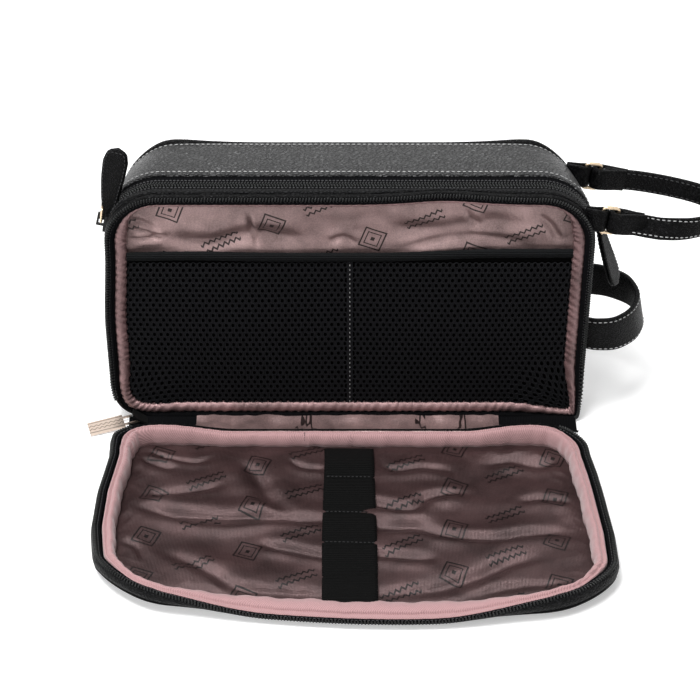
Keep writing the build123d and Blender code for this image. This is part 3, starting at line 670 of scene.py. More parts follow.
def thread(name, colour):
    """Twisted sewing thread."""
    made = Shader(name, colour, 0.6, specular=0.4)
    strand = made.noise(made.mapped(), 2500.0, 2.0)
    made.tint(strand, shade(colour, 0.55), colour)
    made.bump(strand, 0.0001, 0.6)
    return made.material


def metal(name, colour, roughness):
    """Plated metal with faint brushing and wear."""
    made = Shader(name, colour, roughness, metallic=1.0)
    brushed = made.noise(made.mapped(scale=(1, 1, 6)), 700.0, 4.0)
    made.bump(brushed, 0.00001, 0.4)
    made.set("Roughness", made.math("MULTIPLY_ADD", brushed, 0.2, roughness - 0.1))
    made.tint(brushed, shade(colour, 0.92), colour)
    return made.material


def engraved(name, colour, roughness):
    """Plated metal of the pull, with two sunk lines of small zigzags between two borders."""
    made = Shader(name, colour, roughness, metallic=1.0)
    do = made.math
    pull_middle, pull_turn = (-0.1350, -0.0336, 0), (0, 0, math.radians(17))
    vector = made.node(
        "ShaderNodeMapping",
        "Vector",
        vector_type="TEXTURE",
        Location=pull_middle,
        Rotation=pull_turn,
        Vector=made.position(),
    )
    axes = made.axes(vector)
    level = do("SUBTRACT", axes["Y"], do("PINGPONG", axes["X"], 0.0014))
    zigzags = do("ADD", do("COMPARE", level, 0.0006, 0.00028), do("COMPARE", level, -0.0020, 0.00028))
    lines = do("ADD", zigzags, do("COMPARE", do("ABSOLUTE", axes["Y"]), 0.0040, 0.00022))
    made.tint(do("MINIMUM", lines, 1.0), colour, shade(colour, 0.16))
    made.bump(do("MULTIPLY_ADD", lines, -1.0, made.noise(vector, 900.0, 3.0)), 0.00008, 0.7)
    return made.material


def plastic(name, colour, roughness):
    """Moulded plastic with a fine unevenness."""
    made = Shader(name, colour, roughness, specular=0.2)
    fine = made.noise(made.mapped(), 900.0, 2.0)
    made.bump(fine, 0.00004, 0.5)
    made.tint(fine, shade(colour, 0.7), shade(colour, 1.5))
    return made.material


BLACK = (0.010, 0.010, 0.011)
# The top band's leather is the same black leather as the rest, coloured lighter and made glossier as painted sheen.
SHEEN_BAND_LEATHER = leather("band_leather_painted_sheen", (0.018, 0.018, 0.019), 0.40, 1.6, 0.0010, 0.5)
LEATHER = leather("grained_leather", (0.004, 0.004, 0.0045), 0.44, 1.4, 0.0006, 0.07)
SMOOTH_LEATHER = leather("smooth_leather", (0.003, 0.003, 0.0033), 0.34, 0.9, 0.00025, 0.06)
# One satin lining in four brightnesses: the upright divider has its colour, while the roll, the recess wall and,
# darkest, the flap floor are darker copies as painted shade, print included.
SATIN_UPRIGHT = satin("satin_upright", (0.25, 0.17, 0.165), (0.012, 0.008, 0.008), ("X", "Z"))
SHADED_SATIN_FLAT = satin("satin_flat_painted_shade", (0.062, 0.036, 0.036), (0.003, 0.002, 0.002), ("X", "Y"))
SHADED_SATIN_ROLL = satin("satin_roll_painted_shade", (0.19, 0.115, 0.115), BLACK, ("X", "Z"), motif=False)
SHADED_SATIN_PLAIN = satin("satin_plain_painted_shade", (0.12, 0.08, 0.08), BLACK, ("X", "Z"), motif=False)
TWILL = twill("pink_twill", (0.42, 0.245, 0.25))
TAPE = cloth("zip_tape", (0.003, 0.003, 0.0035), "X", 0.9)
NET = cloth("net", (0.008, 0.008, 0.009), "Z", 0.6, roughness=0.7)
# A near-black sheet behind the net: painted shade inside the pocket.
POCKET_SHADE_BACKING = cloth("net_backing_painted_shade", (0.001, 0.001, 0.001), "Z", 1.3, roughness=0.95)
ELASTIC = cloth("elastic", (0.0045, 0.0045, 0.0045), "Y", 1.4, depth=0.0004, roughness=0.7)
HEM = cloth("hem", (0.008, 0.0085, 0.009), "Z", 1.3, depth=0.0003)
THREAD = thread("light_thread", (0.48, 0.48, 0.48))
DARK_THREAD = thread("dark_thread", (0.03, 0.03, 0.032))
BLACK_THREAD = thread("black_thread", (0.009, 0.009, 0.010))
TOOTH = plastic("coil", (0.012, 0.0125, 0.0125), 0.30)
SLIDER = plastic("black_enamel", (0.006, 0.006, 0.006), 0.3)
GOLD = metal("pale_gold", (0.76, 0.60, 0.42), 0.30)
ENGRAVED = engraved("engraved_gold", (0.56, 0.46, 0.39), 0.40)
BOARD = plastic("board", (0.30, 0.28, 0.25), 0.8)

# Materials of the CAD nodes that stay
MATERIAL_OF_SLOT = {
    "pale_gold": GOLD,
    "stiffener": BOARD,
    "satin_lining": SHADED_SATIN_PLAIN,
    "black_leather": LEATHER,
    "pink_binding": TWILL,
    "black_mesh": NET,
    "black_tape": TAPE,
    "black_teeth": TOOTH,
    "black_elastic": ELASTIC,
}
for node, made in frame["nodes"].items():
    chosen = MATERIAL_OF_SLOT[SLOTS[node]]
    if "slider" in node:
        chosen = SLIDER
    if node == "front_pull":
        chosen = ENGRAVED
    if made.material_slots:
        for material_slot in made.material_slots:
            material_slot.material = chosen
    else:
        made.data.materials.append(chosen)

# Body: leather band over the top, sides and bottom

RIM_FINE = whole_rim(3.0)
BAND_CROWN = 0.5
band_profile = [
    (-BAND_CROWN * math.sin(math.pi * share), ZIP_BACK_Y + (REAR_BAND_END_Y - ZIP_BACK_Y) * share)
    for share in np.linspace(0, 1, 9)
]
band_profile += [
    (0.6, REAR_BAND_END_Y + 0.4),
    (1.8, REAR_BAND_END_Y),
    (1.8, ZIP_BACK_Y),
    (1.2, ZIP_BACK_Y - 0.7),
    (0.4, ZIP_BACK_Y - 0.6),
]
band("top_band", RIM_FINE, band_profile, body_place, SHEEN_BAND_LEATHER, "rear_band")
for label, depth in (("front", ZIP_BACK_Y + 2.2), ("rear", REAR_BAND_END_Y - 1.2)):
    sew("band_stitches_" + label, *rim_line(whole_rim(2.0), -0.15, depth, body_place), THREAD, "body")

# Body: piping, thicker at the rear corners and sunk along the top, and the strip before the zip

points, normals = rim(RIM_FINE)
bulge = ease(points[:, 1], 95, 125) * np.exp(-(((np.abs(points[:, 0]) - 108) / 20) ** 2))
sunk = ease(points[:, 1], 140, 150) * (1 - ease(np.abs(points[:, 0]), 50, 95))
cord_profiles = [
    round_profile(2.25 - 0.8 * out + 0.9 * low, REAR_CORD_Y + 0.6 * out, 2.25 + 0.4 * out)
    for out, low in zip(bulge, sunk)
]
band("rear_cord", RIM_FINE, cord_profiles, body_place, SMOOTH_LEATHER, "rear_piping")
band("front_cord", RIM_FINE, round_profile(1.8, FRONT_CORD_Y, 1.8), body_place, SMOOTH_LEATHER, "front_piping")
strip_profile = [
    (0.3, ZIP_FRONT_Y + 0.4),
    (-0.1, -19.6),
    (-0.25, -20.8),
    (-0.2, -22.2),
    (0.3, FRONT_BAND_Y),
    (1.8, FRONT_BAND_Y),
    (1.8, ZIP_FRONT_Y),
]
band("front_strip", RIM_FINE, strip_profile, body_place, LEATHER, "front_band")

# Body: back panel, slightly crowned


def back_depth(across, up):
    """Depth of the back panel."""
    return 27.9 + 1.3 * ease(edge_distance(across, up, 4.4), 0, 30)


flat_sheet("back_leather", 4.2, 70, 42, body_place, back_depth, LEATHER, "back_panel", flip=True)

# Body: lower gusset, main zip, its tapes, coil and end tabs

ARCH_START = RIM_HALF + RIM_ARC + ZIP_END_HEIGHT - CORNER
ARCH_END = RIM_LENGTH - ARCH_START
ARCH = evenly(ARCH_START, ARCH_END, 3.0)
ARCH_PARTS = (
    (
        "gusset_strip",
        evenly(ARCH_END, RIM_LENGTH + ARCH_START, 3.0),
        [(0.2, -5.2), (0.9, -8), (1.1, -12), (0.9, -16), (0.2, -18.8), (1.8, -19.0), (2.2, -12), (1.8, -5.0)],
        LEATHER,
        "lower_gusset",
    ),
    (
        "zip_tape_rear",
        ARCH,
        [(0.9, -5.0), (1.5, -8), (1.2, -12.8), (1.7, -12.8), (2.1, -8), (1.6, -5.0)],
        TAPE,
        "main_zip_rear_tape",
    ),
    (
        "zip_tape_front",
        ARCH,
        [(1.2, -15.2), (1.4, -16.5), (0.8, -19.0), (1.5, -19.0), (1.9, -16.5), (1.7, -15.2)],
        TAPE,
        "main_zip_front_tape",
    ),
)
for name, stations, profile, material, node in ARCH_PARTS:
    band(name, stations, profile, body_place, material, node, closed_rim=False)
COIL_SLANT = 0.35
for label, side, start in (("rear", 1, 0.0), ("front", -1, 1.0)):
    stations = evenly(ARCH_START + start + 7, ARCH_END - 7, 1.55)
    line, normals = rim_line(stations, 0.75, CHAIN_Y + side * 1.15, body_place)
    tangents = tangents_of(line)
    slanted = unit(unit(np.cross(normals, tangents)) * side + COIL_SLANT * tangents)
    axes = (slanted, unit(np.cross(normals, slanted)), normals)
    beads("coil_" + label, (2.7, 0.95, 1.4), 5, line, axes, TOOTH, "body", ["main_zip_" + label + "_teeth"])
    line, normals = rim_line(stations, 0.55, CHAIN_Y + side * 3.4, body_place)
    sew("coil_sewing_" + label, line, normals, DARK_THREAD, "body", pitch=2.0, size=(1.6, 0.8, 0.6))
END_TAB = 8
tab_profile = [(0.2, ZIP_BACK_Y), (-0.1, -12), (0.2, ZIP_FRONT_Y), (1.0, ZIP_FRONT_Y), (1.0, ZIP_BACK_Y)]
for side, start in (("left", ARCH_START), ("right", ARCH_END - END_TAB)):
    stations = evenly(start, start + END_TAB, 1.0)
    band("zip_end_" + side, stations, tab_profile, body_place, LEATHER, "zip_end_tab_" + side, closed_rim=False)

# Half zip round the front opening: tape and teeth, on the body and on the flap

ZIP_GAP = 78.0
COIL_START = RIM_HALF + 16.0


def half_zip(prefix, place, tape_depth, teeth_depth, tape_start, coil_start):
    """Tape and coil of one half of the zip, open along the hinge."""
    body = BODY_OF[place]
    way = 1 if teeth_depth < tape_depth else -1
    low = tape_depth + 0.7 * way
    stations = evenly(tape_start, RIM_LENGTH - ZIP_GAP, 3.0)
    tape_profile = [(1.6, tape_depth), (4.4, tape_depth), (4.4, low), (1.6, low)]
    band(prefix + "_tape", stations, tape_profile, place, TAPE, body + "_zip_tape", closed_rim=False)
    places = evenly(coil_start, RIM_LENGTH - COIL_START, 1.6)
    line, normals = rim_line(places, 1.3, teeth_depth, place)
    tangents = tangents_of(line)
    facing = unit(np.cross(normals, tangents))
    slanted = unit(normals + 0.2 * tangents)
    axes = (slanted, unit(np.cross(facing, slanted)), facing)
    beads(prefix + "_coil", (2.5, 0.95, 1.5), 5, line, axes, TOOTH, body, [body + "_zip_teeth"])
    line, normals = rim_line(places, 2.9, teeth_depth + 0.3 * way, place)
    facing = unit(np.cross(tangents_of(line), normals))
    sew(prefix + "_sewing", line, facing, DARK_THREAD, body, pitch=2.1, size=(1.7, 0.6, 0.5))


# The body's half starts past the sweep of the front pull, at the lower left corner
half_zip("rim", body_place, -27.5, -27.8, RIM_HALF + 34.0, RIM_HALF + 36.0)
half_zip("flap_rim", flap_place, 14.6, 15.0, ZIP_GAP, COIL_START)

# Recess: gathered lining roll round the opening, slimmer along the top

ROLL_Y = -24.4
stations = whole_rim(0.8)
points, normals = rim(stations)
at_top = ease(normals[:, 1], 0.3, 0.95)[:, None]
width = 6.6 - 4.0 * at_top
middle = 5.0 - 0.9 * at_top + width / 2
angle = 2 * math.pi * np.arange(20) / 20
far = stations[:, None]
gather = np.sin(far * 1.25 + 2.6 * np.cos(angle) + 1.3 * np.sin(far * 0.23))
small = np.sin(far * 2.9 - 3.4 * np.cos(angle) + 2.0 * np.sin(far * 0.41))
swell = 1 + 0.075 * gather + 0.04 * small
roll_profiles = np.stack([middle + swell * width / 2 * np.cos(angle), ROLL_Y + swell * 3.0 * np.sin(angle)], -1)
band("lining_roll", stations, roll_profiles, body_place, SHADED_SATIN_ROLL, "frame_binding")

# Recess: the edging and the wall lie further in at the lower left corner, clear of the swinging pull
points, normals = rim(RIM_FINE)
pull_corner = ease(-normals[:, 0], 0.1, 0.5) * ease(-normals[:, 1], 0.1, 0.5)
RIM_EDGING = [(1.4, -27.6), (2.6, -27.9), (4.4, -27.4), (5.6, -26.4), (5.4, -25.6), (1.4, -26.6)]
edging_profiles = [[(inset + 2.2 * near, depth + 1.6 * near) for inset, depth in RIM_EDGING] for near in pull_corner]
band("rim_edging", RIM_FINE, edging_profiles, body_place, TAPE)

# Recess: divider lining. Each fold is a line of (across, up) points, a depth and a width
DIVIDER_FOLDS = (
    (((-104, 122), (-95, 119.5), (-73, 118), (-54, 123.5), (-40, 122.5), (-18, 118)), 1.5, 4.5),
    (((-116, 127), (-108, 125), (-97, 121)), 1.3, 1.6),
    (((-117, 120), (-108, 121), (-96, 121)), 1.1, 1.5),
    (((-117, 133), (-108, 130), (-99, 124)), 0.9, 1.8),
    (((-54, 139), (-52, 129), (-50, 121), (-48, 114)), 1.2, 1.3),
    (((-12, 118), (-3, 121), (4, 116)), 0.8, 2.0),
    (((14, 128), (43, 126), (75, 130.5), (96, 127)), 1.5, 4.5),
    (((20, 113), (43, 118.5), (66, 122), (87, 119), (101, 114)), 1.0, 3.2),
    (((98, 136), (106, 129), (112, 118)), 0.9, 2.0),
    (((60, 141), (64, 133), (70, 126)), 0.7, 1.6),
)
DIVIDER_FOLD_SCALE = 2.2
DIVIDER_FOLD_LIMIT = 6.4


def divider_depth(across, up):
    """Depth of the folded lining, flat behind the pocket."""
    height = 2.3 + (0.7 * wave_noise(across, up * 2.2, 34, 1) + 0.35 * wave_noise(across, up * 2.2, 12, 2))
    for line, depth, width in DIVIDER_FOLDS:
        height = height + fold(across, up, line, DIVIDER_FOLD_SCALE * depth, width)
    return DIVIDER_Y - 0.3 - np.clip(height, 0, DIVIDER_FOLD_LIMIT) * ease(up, 92, 112)


divider_satin = flat_sheet(
    "divider_satin", 2.4, 260, 150, body_place, divider_depth, SATIN_UPRIGHT, "divider_lining"
)
wall_profiles = [
    [(2.3, -26.5 + 2 * near), (2.6, -23), (2.3, DIVIDER_Y), (1.9, DIVIDER_Y), (1.9, -26.5 + 2 * near)]
    for near in pull_corner
]
band("recess_wall", RIM_FINE, wall_profiles, body_place, SHADED_SATIN_PLAIN, "recess_lining")

# Recess: mesh pocket. A net of oval holes on a black sheet that stands in for the shade inside the pocket as painted
# shade, with a ribbed hem and a sewn middle

MESH_HALF = 119.0
MESH_LOW = 8.0
MESH_INSET = 9.0
NET_PITCH = 3.5
NET_RISE = 3.3
NET_TOP = 109
SEAM_HALF = 1.4
HEM_DEPTH = 5.5
CELL_CORNERS = np.array([(1, 0.36), (0, 0.66), (-1, 0.36), (-1, -0.36), (0, -0.66), (1, -0.36)])
HOLE_NARROWING = 0.68
# Rings from a cell's edge to its hole: scale across, scale up and lift
CELL_RINGS = ((1.0, 1.0, 0.0),) + tuple(
    (scale * HOLE_NARROWING, scale, lift) for scale, lift in ((0.88, 0.40), (0.76, 0.36), (0.68, -0.40))
)


def mesh_top(across):
    """Height of the pocket's upper edge."""
    return 113.2 + 2.6 * ease(across, 10, 85) + 0.9 * np.exp(-(((across + 85) / 30) ** 2))


def mesh_point(across, up, lift=0.0):
    """A point of the pocket: it bellies forward a little and sags back to its hem."""
    bellied = np.sin(math.pi * np.clip(np.abs(across) / 118, 0, 1)) * np.sin(math.pi * np.clip((up - 10) / 104, 0, 1))
    return body_place(across, up, MESH_Y - 1.1 * bellied - lift)


row, column = np.meshgrid(
    np.arange(int((NET_TOP - MESH_LOW) / NET_RISE)), np.arange(int(2 * MESH_HALF / NET_PITCH)), indexing="ij"
)
centre_x = -MESH_HALF + NET_PITCH * (column + np.where(row % 2, 0.25, 0.75))
centre_z = MESH_LOW + NET_RISE * (row + 0.5)
held = (np.abs(centre_x) >= SEAM_HALF) & (centre_z <= mesh_top(centre_x) - HEM_DEPTH)
centre_x, centre_z = centre_x[held][:, None, None], centre_z[held][:, None, None]
scale_x, scale_z, lift = np.array(CELL_RINGS).T[:, :, None]
x = centre_x + CELL_CORNERS[:, 0] * NET_PITCH / 2 * scale_x
z = centre_z + CELL_CORNERS[:, 1] * NET_RISE * scale_z
net_points = mesh_point(*inside(x, z, MESH_INSET), lift)
cell_faces = np.array(grid_faces(len(CELL_RINGS), len(CELL_CORNERS), False, True))
cell_starts = np.arange(len(net_points))[:, None, None] * len(CELL_RINGS) * len(CELL_CORNERS)
net_faces = (cell_starts + cell_faces).reshape(-1, 4).tolist()
piece("pocket_net", net_points, net_faces, NET, "body", ["mesh_pocket"])

# A black sheet just behind the net, so that the holes show black: painted shade inside the pocket.
across, up = np.meshgrid(np.linspace(-MESH_HALF, MESH_HALF, 70), np.linspace(MESH_LOW, 110, 36))
across, up = inside(across, up, MESH_INSET)
shade_backing = mesh_point(across, np.minimum(up, mesh_top(across) - 2), -0.9)
piece("net_backing_painted_shade", shade_backing, grid_faces(36, 70), POCKET_SHADE_BACKING, "body")

across = np.linspace(-MESH_HALF + 0.5, MESH_HALF - 0.5, 90)
hem_profile = [(-5.2, 0.2), (-5.0, 0.9), (-2.6, 1.2), (-0.3, 0.9), (0.1, 0.0), (-0.3, -0.7), (-5.0, -0.7)]
hem = np.stack(
    [mesh_point(across, mesh_top(across) + rise, lift + 0.15 * np.sin(across * 0.9)) for rise, lift in hem_profile], 1
)
piece("pocket_hem", hem, grid_faces(len(across), len(hem_profile), False, True), HEM, "body", ["mesh_binding"])
up = np.linspace(MESH_LOW, mesh_top(0.0) - 1, 60)
seam_profile = ((-1.6, 0.1), (-0.7, 0.55), (0, 0.2), (0.7, 0.55), (1.6, 0.1))
seam = np.stack([mesh_point(np.full_like(up, x), up, lift) for x, lift in seam_profile], 1)
piece("pocket_seam", seam, grid_faces(len(up), len(seam_profile)), NET, "body", ["mesh_centre_tape"])
line = mesh_point(np.zeros_like(up), up, 0.45)
sew("pocket_stitches", line, (0, -1, 0), THREAD, "body", pitch=3.0, size=(1.3, 0.35, 0.3))

# Flap: leather base, wall and piping

band("flap_cord", RIM_FINE, round_profile(1.5, 2.0, 1.7), flap_place, SMOOTH_LEATHER, "flap_piping")
flap_wall_profile = [
    (0.5, 3.2),
    (-0.6, 5.5),
    (-0.9, 8.5),
    (-0.6, 11.5),
    (0.1, 14.0),
    (0.9, 14.6),
    (1.9, 14.2),
    (1.6, 8.5),
    (2.0, 3.2),
]
band("flap_wall", RIM_FINE, flap_wall_profile, flap_place, LEATHER, "flap_band")


def base_height(across, along):
    """Height of the flap's leather base."""
    return 0.25 + 0.5 * (1 - ease(edge_distance(across, along, 2.0), 0, 14))


flat_sheet("flap_base", 2.0, 80, 50, flap_place, base_height, LEATHER, "flap_panel", "flap_board", flip=True)

# Flap: twill binding, a fat roll with a sewn groove, wider at the near side. Its end laps over its start

ROLL_INSET = 3.2
ROLL_WIDTH = 6.4
LAP_STATION = 23.0
LAP_THICKNESS = 0.9
# Share of the roll's width and height, from its outer edge over the top and back underneath
ROLL_SECTION = (
    (0.00, 12.4),
    (0.03, 14.2),
    (0.12, 15.3),
    (0.22, 15.0),
    (0.29, 13.6),
    (0.34, 13.5),
    (0.42, 15.0),
    (0.55, 16.0),
    (0.70, 15.8),
    (0.84, 14.4),
    (0.94, 12.2),
    (1.00, 9.4),
    (0.99, 6.6),
    (0.93, 3.6),
    (0.20, 3.4),
    (0.00, 6.0),
)
stations = whole_rim(1.5)
points, normals = rim(stations)
near = ease(normals[:, 1], 0.75, 1.0) * (1 - ease(np.abs(points[:, 0]), 40, 108))
beside = ease(np.abs(normals[:, 0]), 0.3, 0.9)
lap = LAP_THICKNESS * np.where(stations <= LAP_STATION, stations / LAP_STATION, 0)
width = ROLL_WIDTH + 3.2 * near + 0.35 * np.sin(stations * 0.21) + 0.25 * np.sin(stations * 0.57 + 1)
crown = 0.16 * np.sin(stations * 1.1 + 2 * np.sin(stations * 0.17)) + lap
share, height = np.array(ROLL_SECTION).T
inset = (ROLL_INSET + 1.9 * beside)[:, None] + share * (width + lap)[:, None]
roll_profiles = np.stack([inset, height + crown[:, None] * (0.5 + share)], -1)
band("flap_roll", stations, roll_profiles, flap_place, TWILL, "flap_binding")

seam_height = np.interp(np.linspace(0, 1, 14), [0, 0.5, 0.8, 1], [15.2, 16.6, 16.2, 12.5])
seam = flap_place(-LAP_STATION - 1.2, np.linspace(4.6, 11.4, 14), seam_height)
sew("flap_roll_seam", seam, (0, -0.3, 1), DARK_THREAD, "flap", pitch=1.3, size=(0.9, 0.4, 0.3))

# Flap: satin lining. Each fold is a line of (across, along) points, a depth and a width

FLAP_FLOOR = 3.2
FLAP_FOLDS = (
    (((-122, 62), (-105, 69), (-90, 74), (-65, 77.5), (-41, 76), (4, 80)), 2.8, 4.0),
    (((-102, 104), (-96, 107), (-82, 115), (-69, 125), (-52, 135), (4, 137)), 2.8, 4.2),
    (((-66, 18), (-61, 25), (-50, 41), (-40, 62), (-24, 74)), 2.1, 4.6),
    (((-112, 60), (-97, 55), (-82, 52), (-64, 47)), 1.5, 3.0),
    (((-50, 96), (-32, 102), (-18, 106), (4, 110)), 2.2, 3.0),
    (((-118, 96), (-108, 104), (-104, 118)), 1.1, 2.4),
    (((-116, 20), (-104, 30), (-92, 34)), 1.3, 2.6),
    (((-110, 14), (-98, 22), (-84, 26), (-72, 20)), 1.1, 2.2),
    (((-34, 22), (-26, 30), (-10, 32)), 1.2, 2.4),
    (((-4, 86), (31, 82), (49, 89), (71, 91), (95, 86), (121, 88)), 2.5, 3.8),
    (((-4, 136), (38, 131), (61, 123), (78, 113), (104, 105)), 2.4, 4.0),
    (((-4, 58), (29, 67), (40, 58), (53, 53), (70, 54)), 2.0, 3.4),
    (((2, 105), (20, 106), (46, 110)), 1.8, 3.0),
    (((48, 140), (66, 134), (86, 130), (112, 131)), 1.5, 3.0),
    (((12, 22), (24, 32), (40, 30), (60, 36)), 1.5, 3.2),
    (((70, 30), (86, 24), (104, 28), (116, 22)), 1.5, 3.4),
    (((84, 62), (100, 58), (118, 64)), 1.2, 2.8),
)
FLAP_FOLD_SCALE = 1.35
FLAP_FOLD_LIMITS = (-2.9, 5.2)


def fold_height(across, along):
    """Height of the folded lining, held down at its seam."""
    x, y = across * 0.5 + along * 0.2, along * 1.2
    broad, middle = wave_noise(x, y, 30, 3), wave_noise(x, y, 13, 4)
    crumple = 1 - 2 * np.abs(wave_noise(across, along, 9, 6))
    free = ease(edge_distance(across, along, 9), 0, 9)
    at_seam = 1 - ease(edge_distance(across, along, 9), 4, 22)
    height = 2.0 * broad + 0.9 * middle + 0.8 * crumple * at_seam
    for line, depth, width in FLAP_FOLDS:
        height = height + fold(across, along, line, FLAP_FOLD_SCALE * depth, width)
    return FLAP_FLOOR + 1.6 + free * np.clip(height, *FLAP_FOLD_LIMITS) - 0.6 * (1 - free)


flap_satin = flat_sheet("flap_satin", 8.0, 300, 180, flap_place, fold_height, SHADED_SATIN_FLAT, "flap_lining")

# Flap: elastic loops, tacked down across at these distances from the hinge

TACKS = (12.0, 40.5, 71.5, 97.0, 123.5, 141.0)
ELASTIC_HALF = 13.5
ELASTIC_LOW, ELASTIC_RISE = 5.4, 2.6
ELASTIC_THICKNESS = 1.1
loops = []
for start, end in zip(TACKS[:-1], TACKS[1:]):
    for share in np.linspace(0, 1, 12, endpoint=False):
        rise = math.sin(math.pi * share) ** 0.7
        loops.append((start + (end - start) * share, ELASTIC_LOW + ELASTIC_RISE * rise))
loops.append((TACKS[-1], ELASTIC_LOW))
along, height = np.array(loops).T[:, :, None]
across = np.linspace(-1, 1, 15)
edge = 0.5 * np.clip(np.abs(across) * 8 - 7, 0, 1)
lift = 1 + 0.7 * ease(along, 115, 145)
across = across * ELASTIC_HALF * (1 + 0.03 * ease(along, 20, 140)) - 0.3
upper = flap_place(across, along, (height - edge) * lift)
lower = flap_place(across, along, (height - ELASTIC_THICKNESS) * lift)
grid = np.concatenate([upper, lower[:, ::-1]], 1)
piece("elastic_band", grid, grid_faces(*grid.shape[:2], False, True), ELASTIC, "flap", ["elastic_loops"])
for index, along in enumerate(TACKS[1:-1]):
    line = flap_place(np.linspace(-12.6, 12.0, 20), along, 5.6)
    sew(f"elastic_tack_{index + 1}", line, (0, 0, 1), BLACK_THREAD, "flap", pitch=2.2, size=(1.7, 0.5, 0.4))

# Hinge: satin gusset, leather below it and black tape at each end, bent between the body and the flap. The end tapes
# stand partly for zip tape and partly for painted shade between the rim and the flap


def strip_between(name, start, end, section, rows, columns, ripple, material, *nodes):
    """A strip across the hinge from a section of (y, z) points."""
    grid = np.zeros((rows, columns, 3))
    for j, (y, z) in enumerate(smooth_line(section, rows)):
        share = j / (rows - 1)
        free = math.sin(math.pi * share)
        for i, x in enumerate(np.linspace(start, end, columns)):
            broad = noise.noise(Vector((x / 14, share * 2.5, 3.1)))
            fine = noise.noise(Vector((x / 5, share * 3.5, 7.7)))
            wave = broad + 0.5 * fine
            grid[j, i] = (x, y + ripple * 0.5 * free * wave, z + ripple * free * wave)
    made = piece(name, grid, grid_faces(rows, columns), material, None, nodes)
    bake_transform(made)
    return made


satin_section = [
    (-21.5, 4.5), (-25.5, 4.2), (-29.5, 3.6), (-34, 3.0), (-39, 4.2), (-43.5, 6.6), (-47.2, 9.0), (-48.5, 8.2)
]
hinge_satin = strip_between("hinge_satin", -86, 83.5, satin_section, 22, 200, 1.8, SATIN_UPRIGHT, "hinge_lining")
leather_section = [(-24, 1.4), (-27, 0.7), (-31, 0.4), (-38, 0.4), (-44, 0.6), (-47.5, 1.4)]
strip_between("hinge_leather", -122, 124, leather_section, 22, 40, 0.1, LEATHER, "hinge_gusset")
# Black tape at each end of the hinge: partly the zip tape there, partly painted shade in the gap between the rim and
# the flap.
tape_and_shade_section = [(-27.3, 3.2), (-31, 1.8), (-36, 1.6), (-42, 3.4), (-46.5, 8.6)]
for side, start, end in (("left", -124, -85), ("right", 82.5, 127)):
    strip_between("hinge_tape_and_shade_" + side, start, end, tape_and_shade_section, 14, 10, 0, TAPE)

# Right side: grab handle


def outward_of(thick, line, middle):
    """The flat side's direction that points away from a middle."""
    return thick * np.sign(np.sum(thick * (line - middle), 1, keepdims=True))


handle_points = [
    (128.5, -22.6, 58.5),
    (136, -23.4, 57.8),
    (146, -21.6, 57.4),
    (155.5, -14, 57.6),
    (160.4, -4, 58),
    (161, 5, 58.6),
    (156.5, 15, 59.8),
    (146, 22, 60.6),
    (135, 24.6, 61),
    (124.5, 24.9, 61),
]
line = smooth_line(handle_points, 60)
wide, thick = ribbon("grab_handle", line, np.array([-0.2, 0, 1]), 21.0, 2.6, "body", "side_handle")
outward = outward_of(thick, line, np.array([128, 1, 60]))
for label, offset in (("upper", 8.9), ("lower", -8.9)):
    sew("handle_stitches_" + label, line + wide * offset + outward * 1.4, outward, THREAD, "body", pitch=3.0)

# Right side: strap tabs, rings and carry strap, in the strap's own tilted plane

TILT, ROLL = math.radians(8.0), math.radians(4.6)
STRAP_X = np.array([math.cos(TILT), 0, -math.sin(TILT)])
STRAP_Z = np.array([math.sin(TILT) * math.cos(ROLL), math.cos(TILT) * math.sin(ROLL), math.cos(TILT) * math.cos(ROLL)])
STRAP_Y = np.cross(STRAP_Z, STRAP_X)
STRAP_ORIGIN = np.array([132.5, -23.2, 133.5])
RING_LENGTH, RING_HALF, RING_CORNER, RING_WIRE = 8.0, 7.3, 1.6, 1.0
TAB_RADIUS, TAB_WIDTH, TAB_THICKNESS = 2.3, 12.4, 1.6
FOLD_RADIUS, FOLD_SIDE_RADIUS, FOLD_WIDTH = 3.5, 3.2, 12.2
STRAP_WIDTH, STRAP_THICKNESS = 12.0, 2.6
REAR_EYE = (-4.0, 48.0)


def strap_point(x, y, z=0.0):
    """A point in the strap's own tilted plane."""
    return STRAP_ORIGIN + x * STRAP_X + y * STRAP_Y + z * STRAP_Z


for side, (eye_x, eye_y), root in (("front", (0, 0), -9.0), ("rear", REAR_EYE, -10.5)):
    loop = rounded_loop(RING_LENGTH, RING_HALF, RING_CORNER, 6)
    line = [strap_point(eye_x + x, eye_y, z) for x, z in loop]
    wire("wire_ring_" + side, line, RING_WIRE, "ring_" + side, "ring_" + side)
    line = [strap_point(eye_x + root, eye_y + 1.2), strap_point(eye_x - 3, eye_y + 1.6)]
    for k in range(13):
        angle = math.radians(90 - 15 * k)
        line.append(strap_point(eye_x + TAB_RADIUS * math.cos(angle), eye_y + TAB_RADIUS * math.sin(angle)))
    line += [strap_point(eye_x - 3, eye_y - 1.6), strap_point(eye_x + root, eye_y - 1.2)]
    ribbon(
        "ring_tab_" + side, np.array(line), STRAP_Z, TAB_WIDTH, TAB_THICKNESS, "body", "strap_tab_" + side, edge=0.5
    )

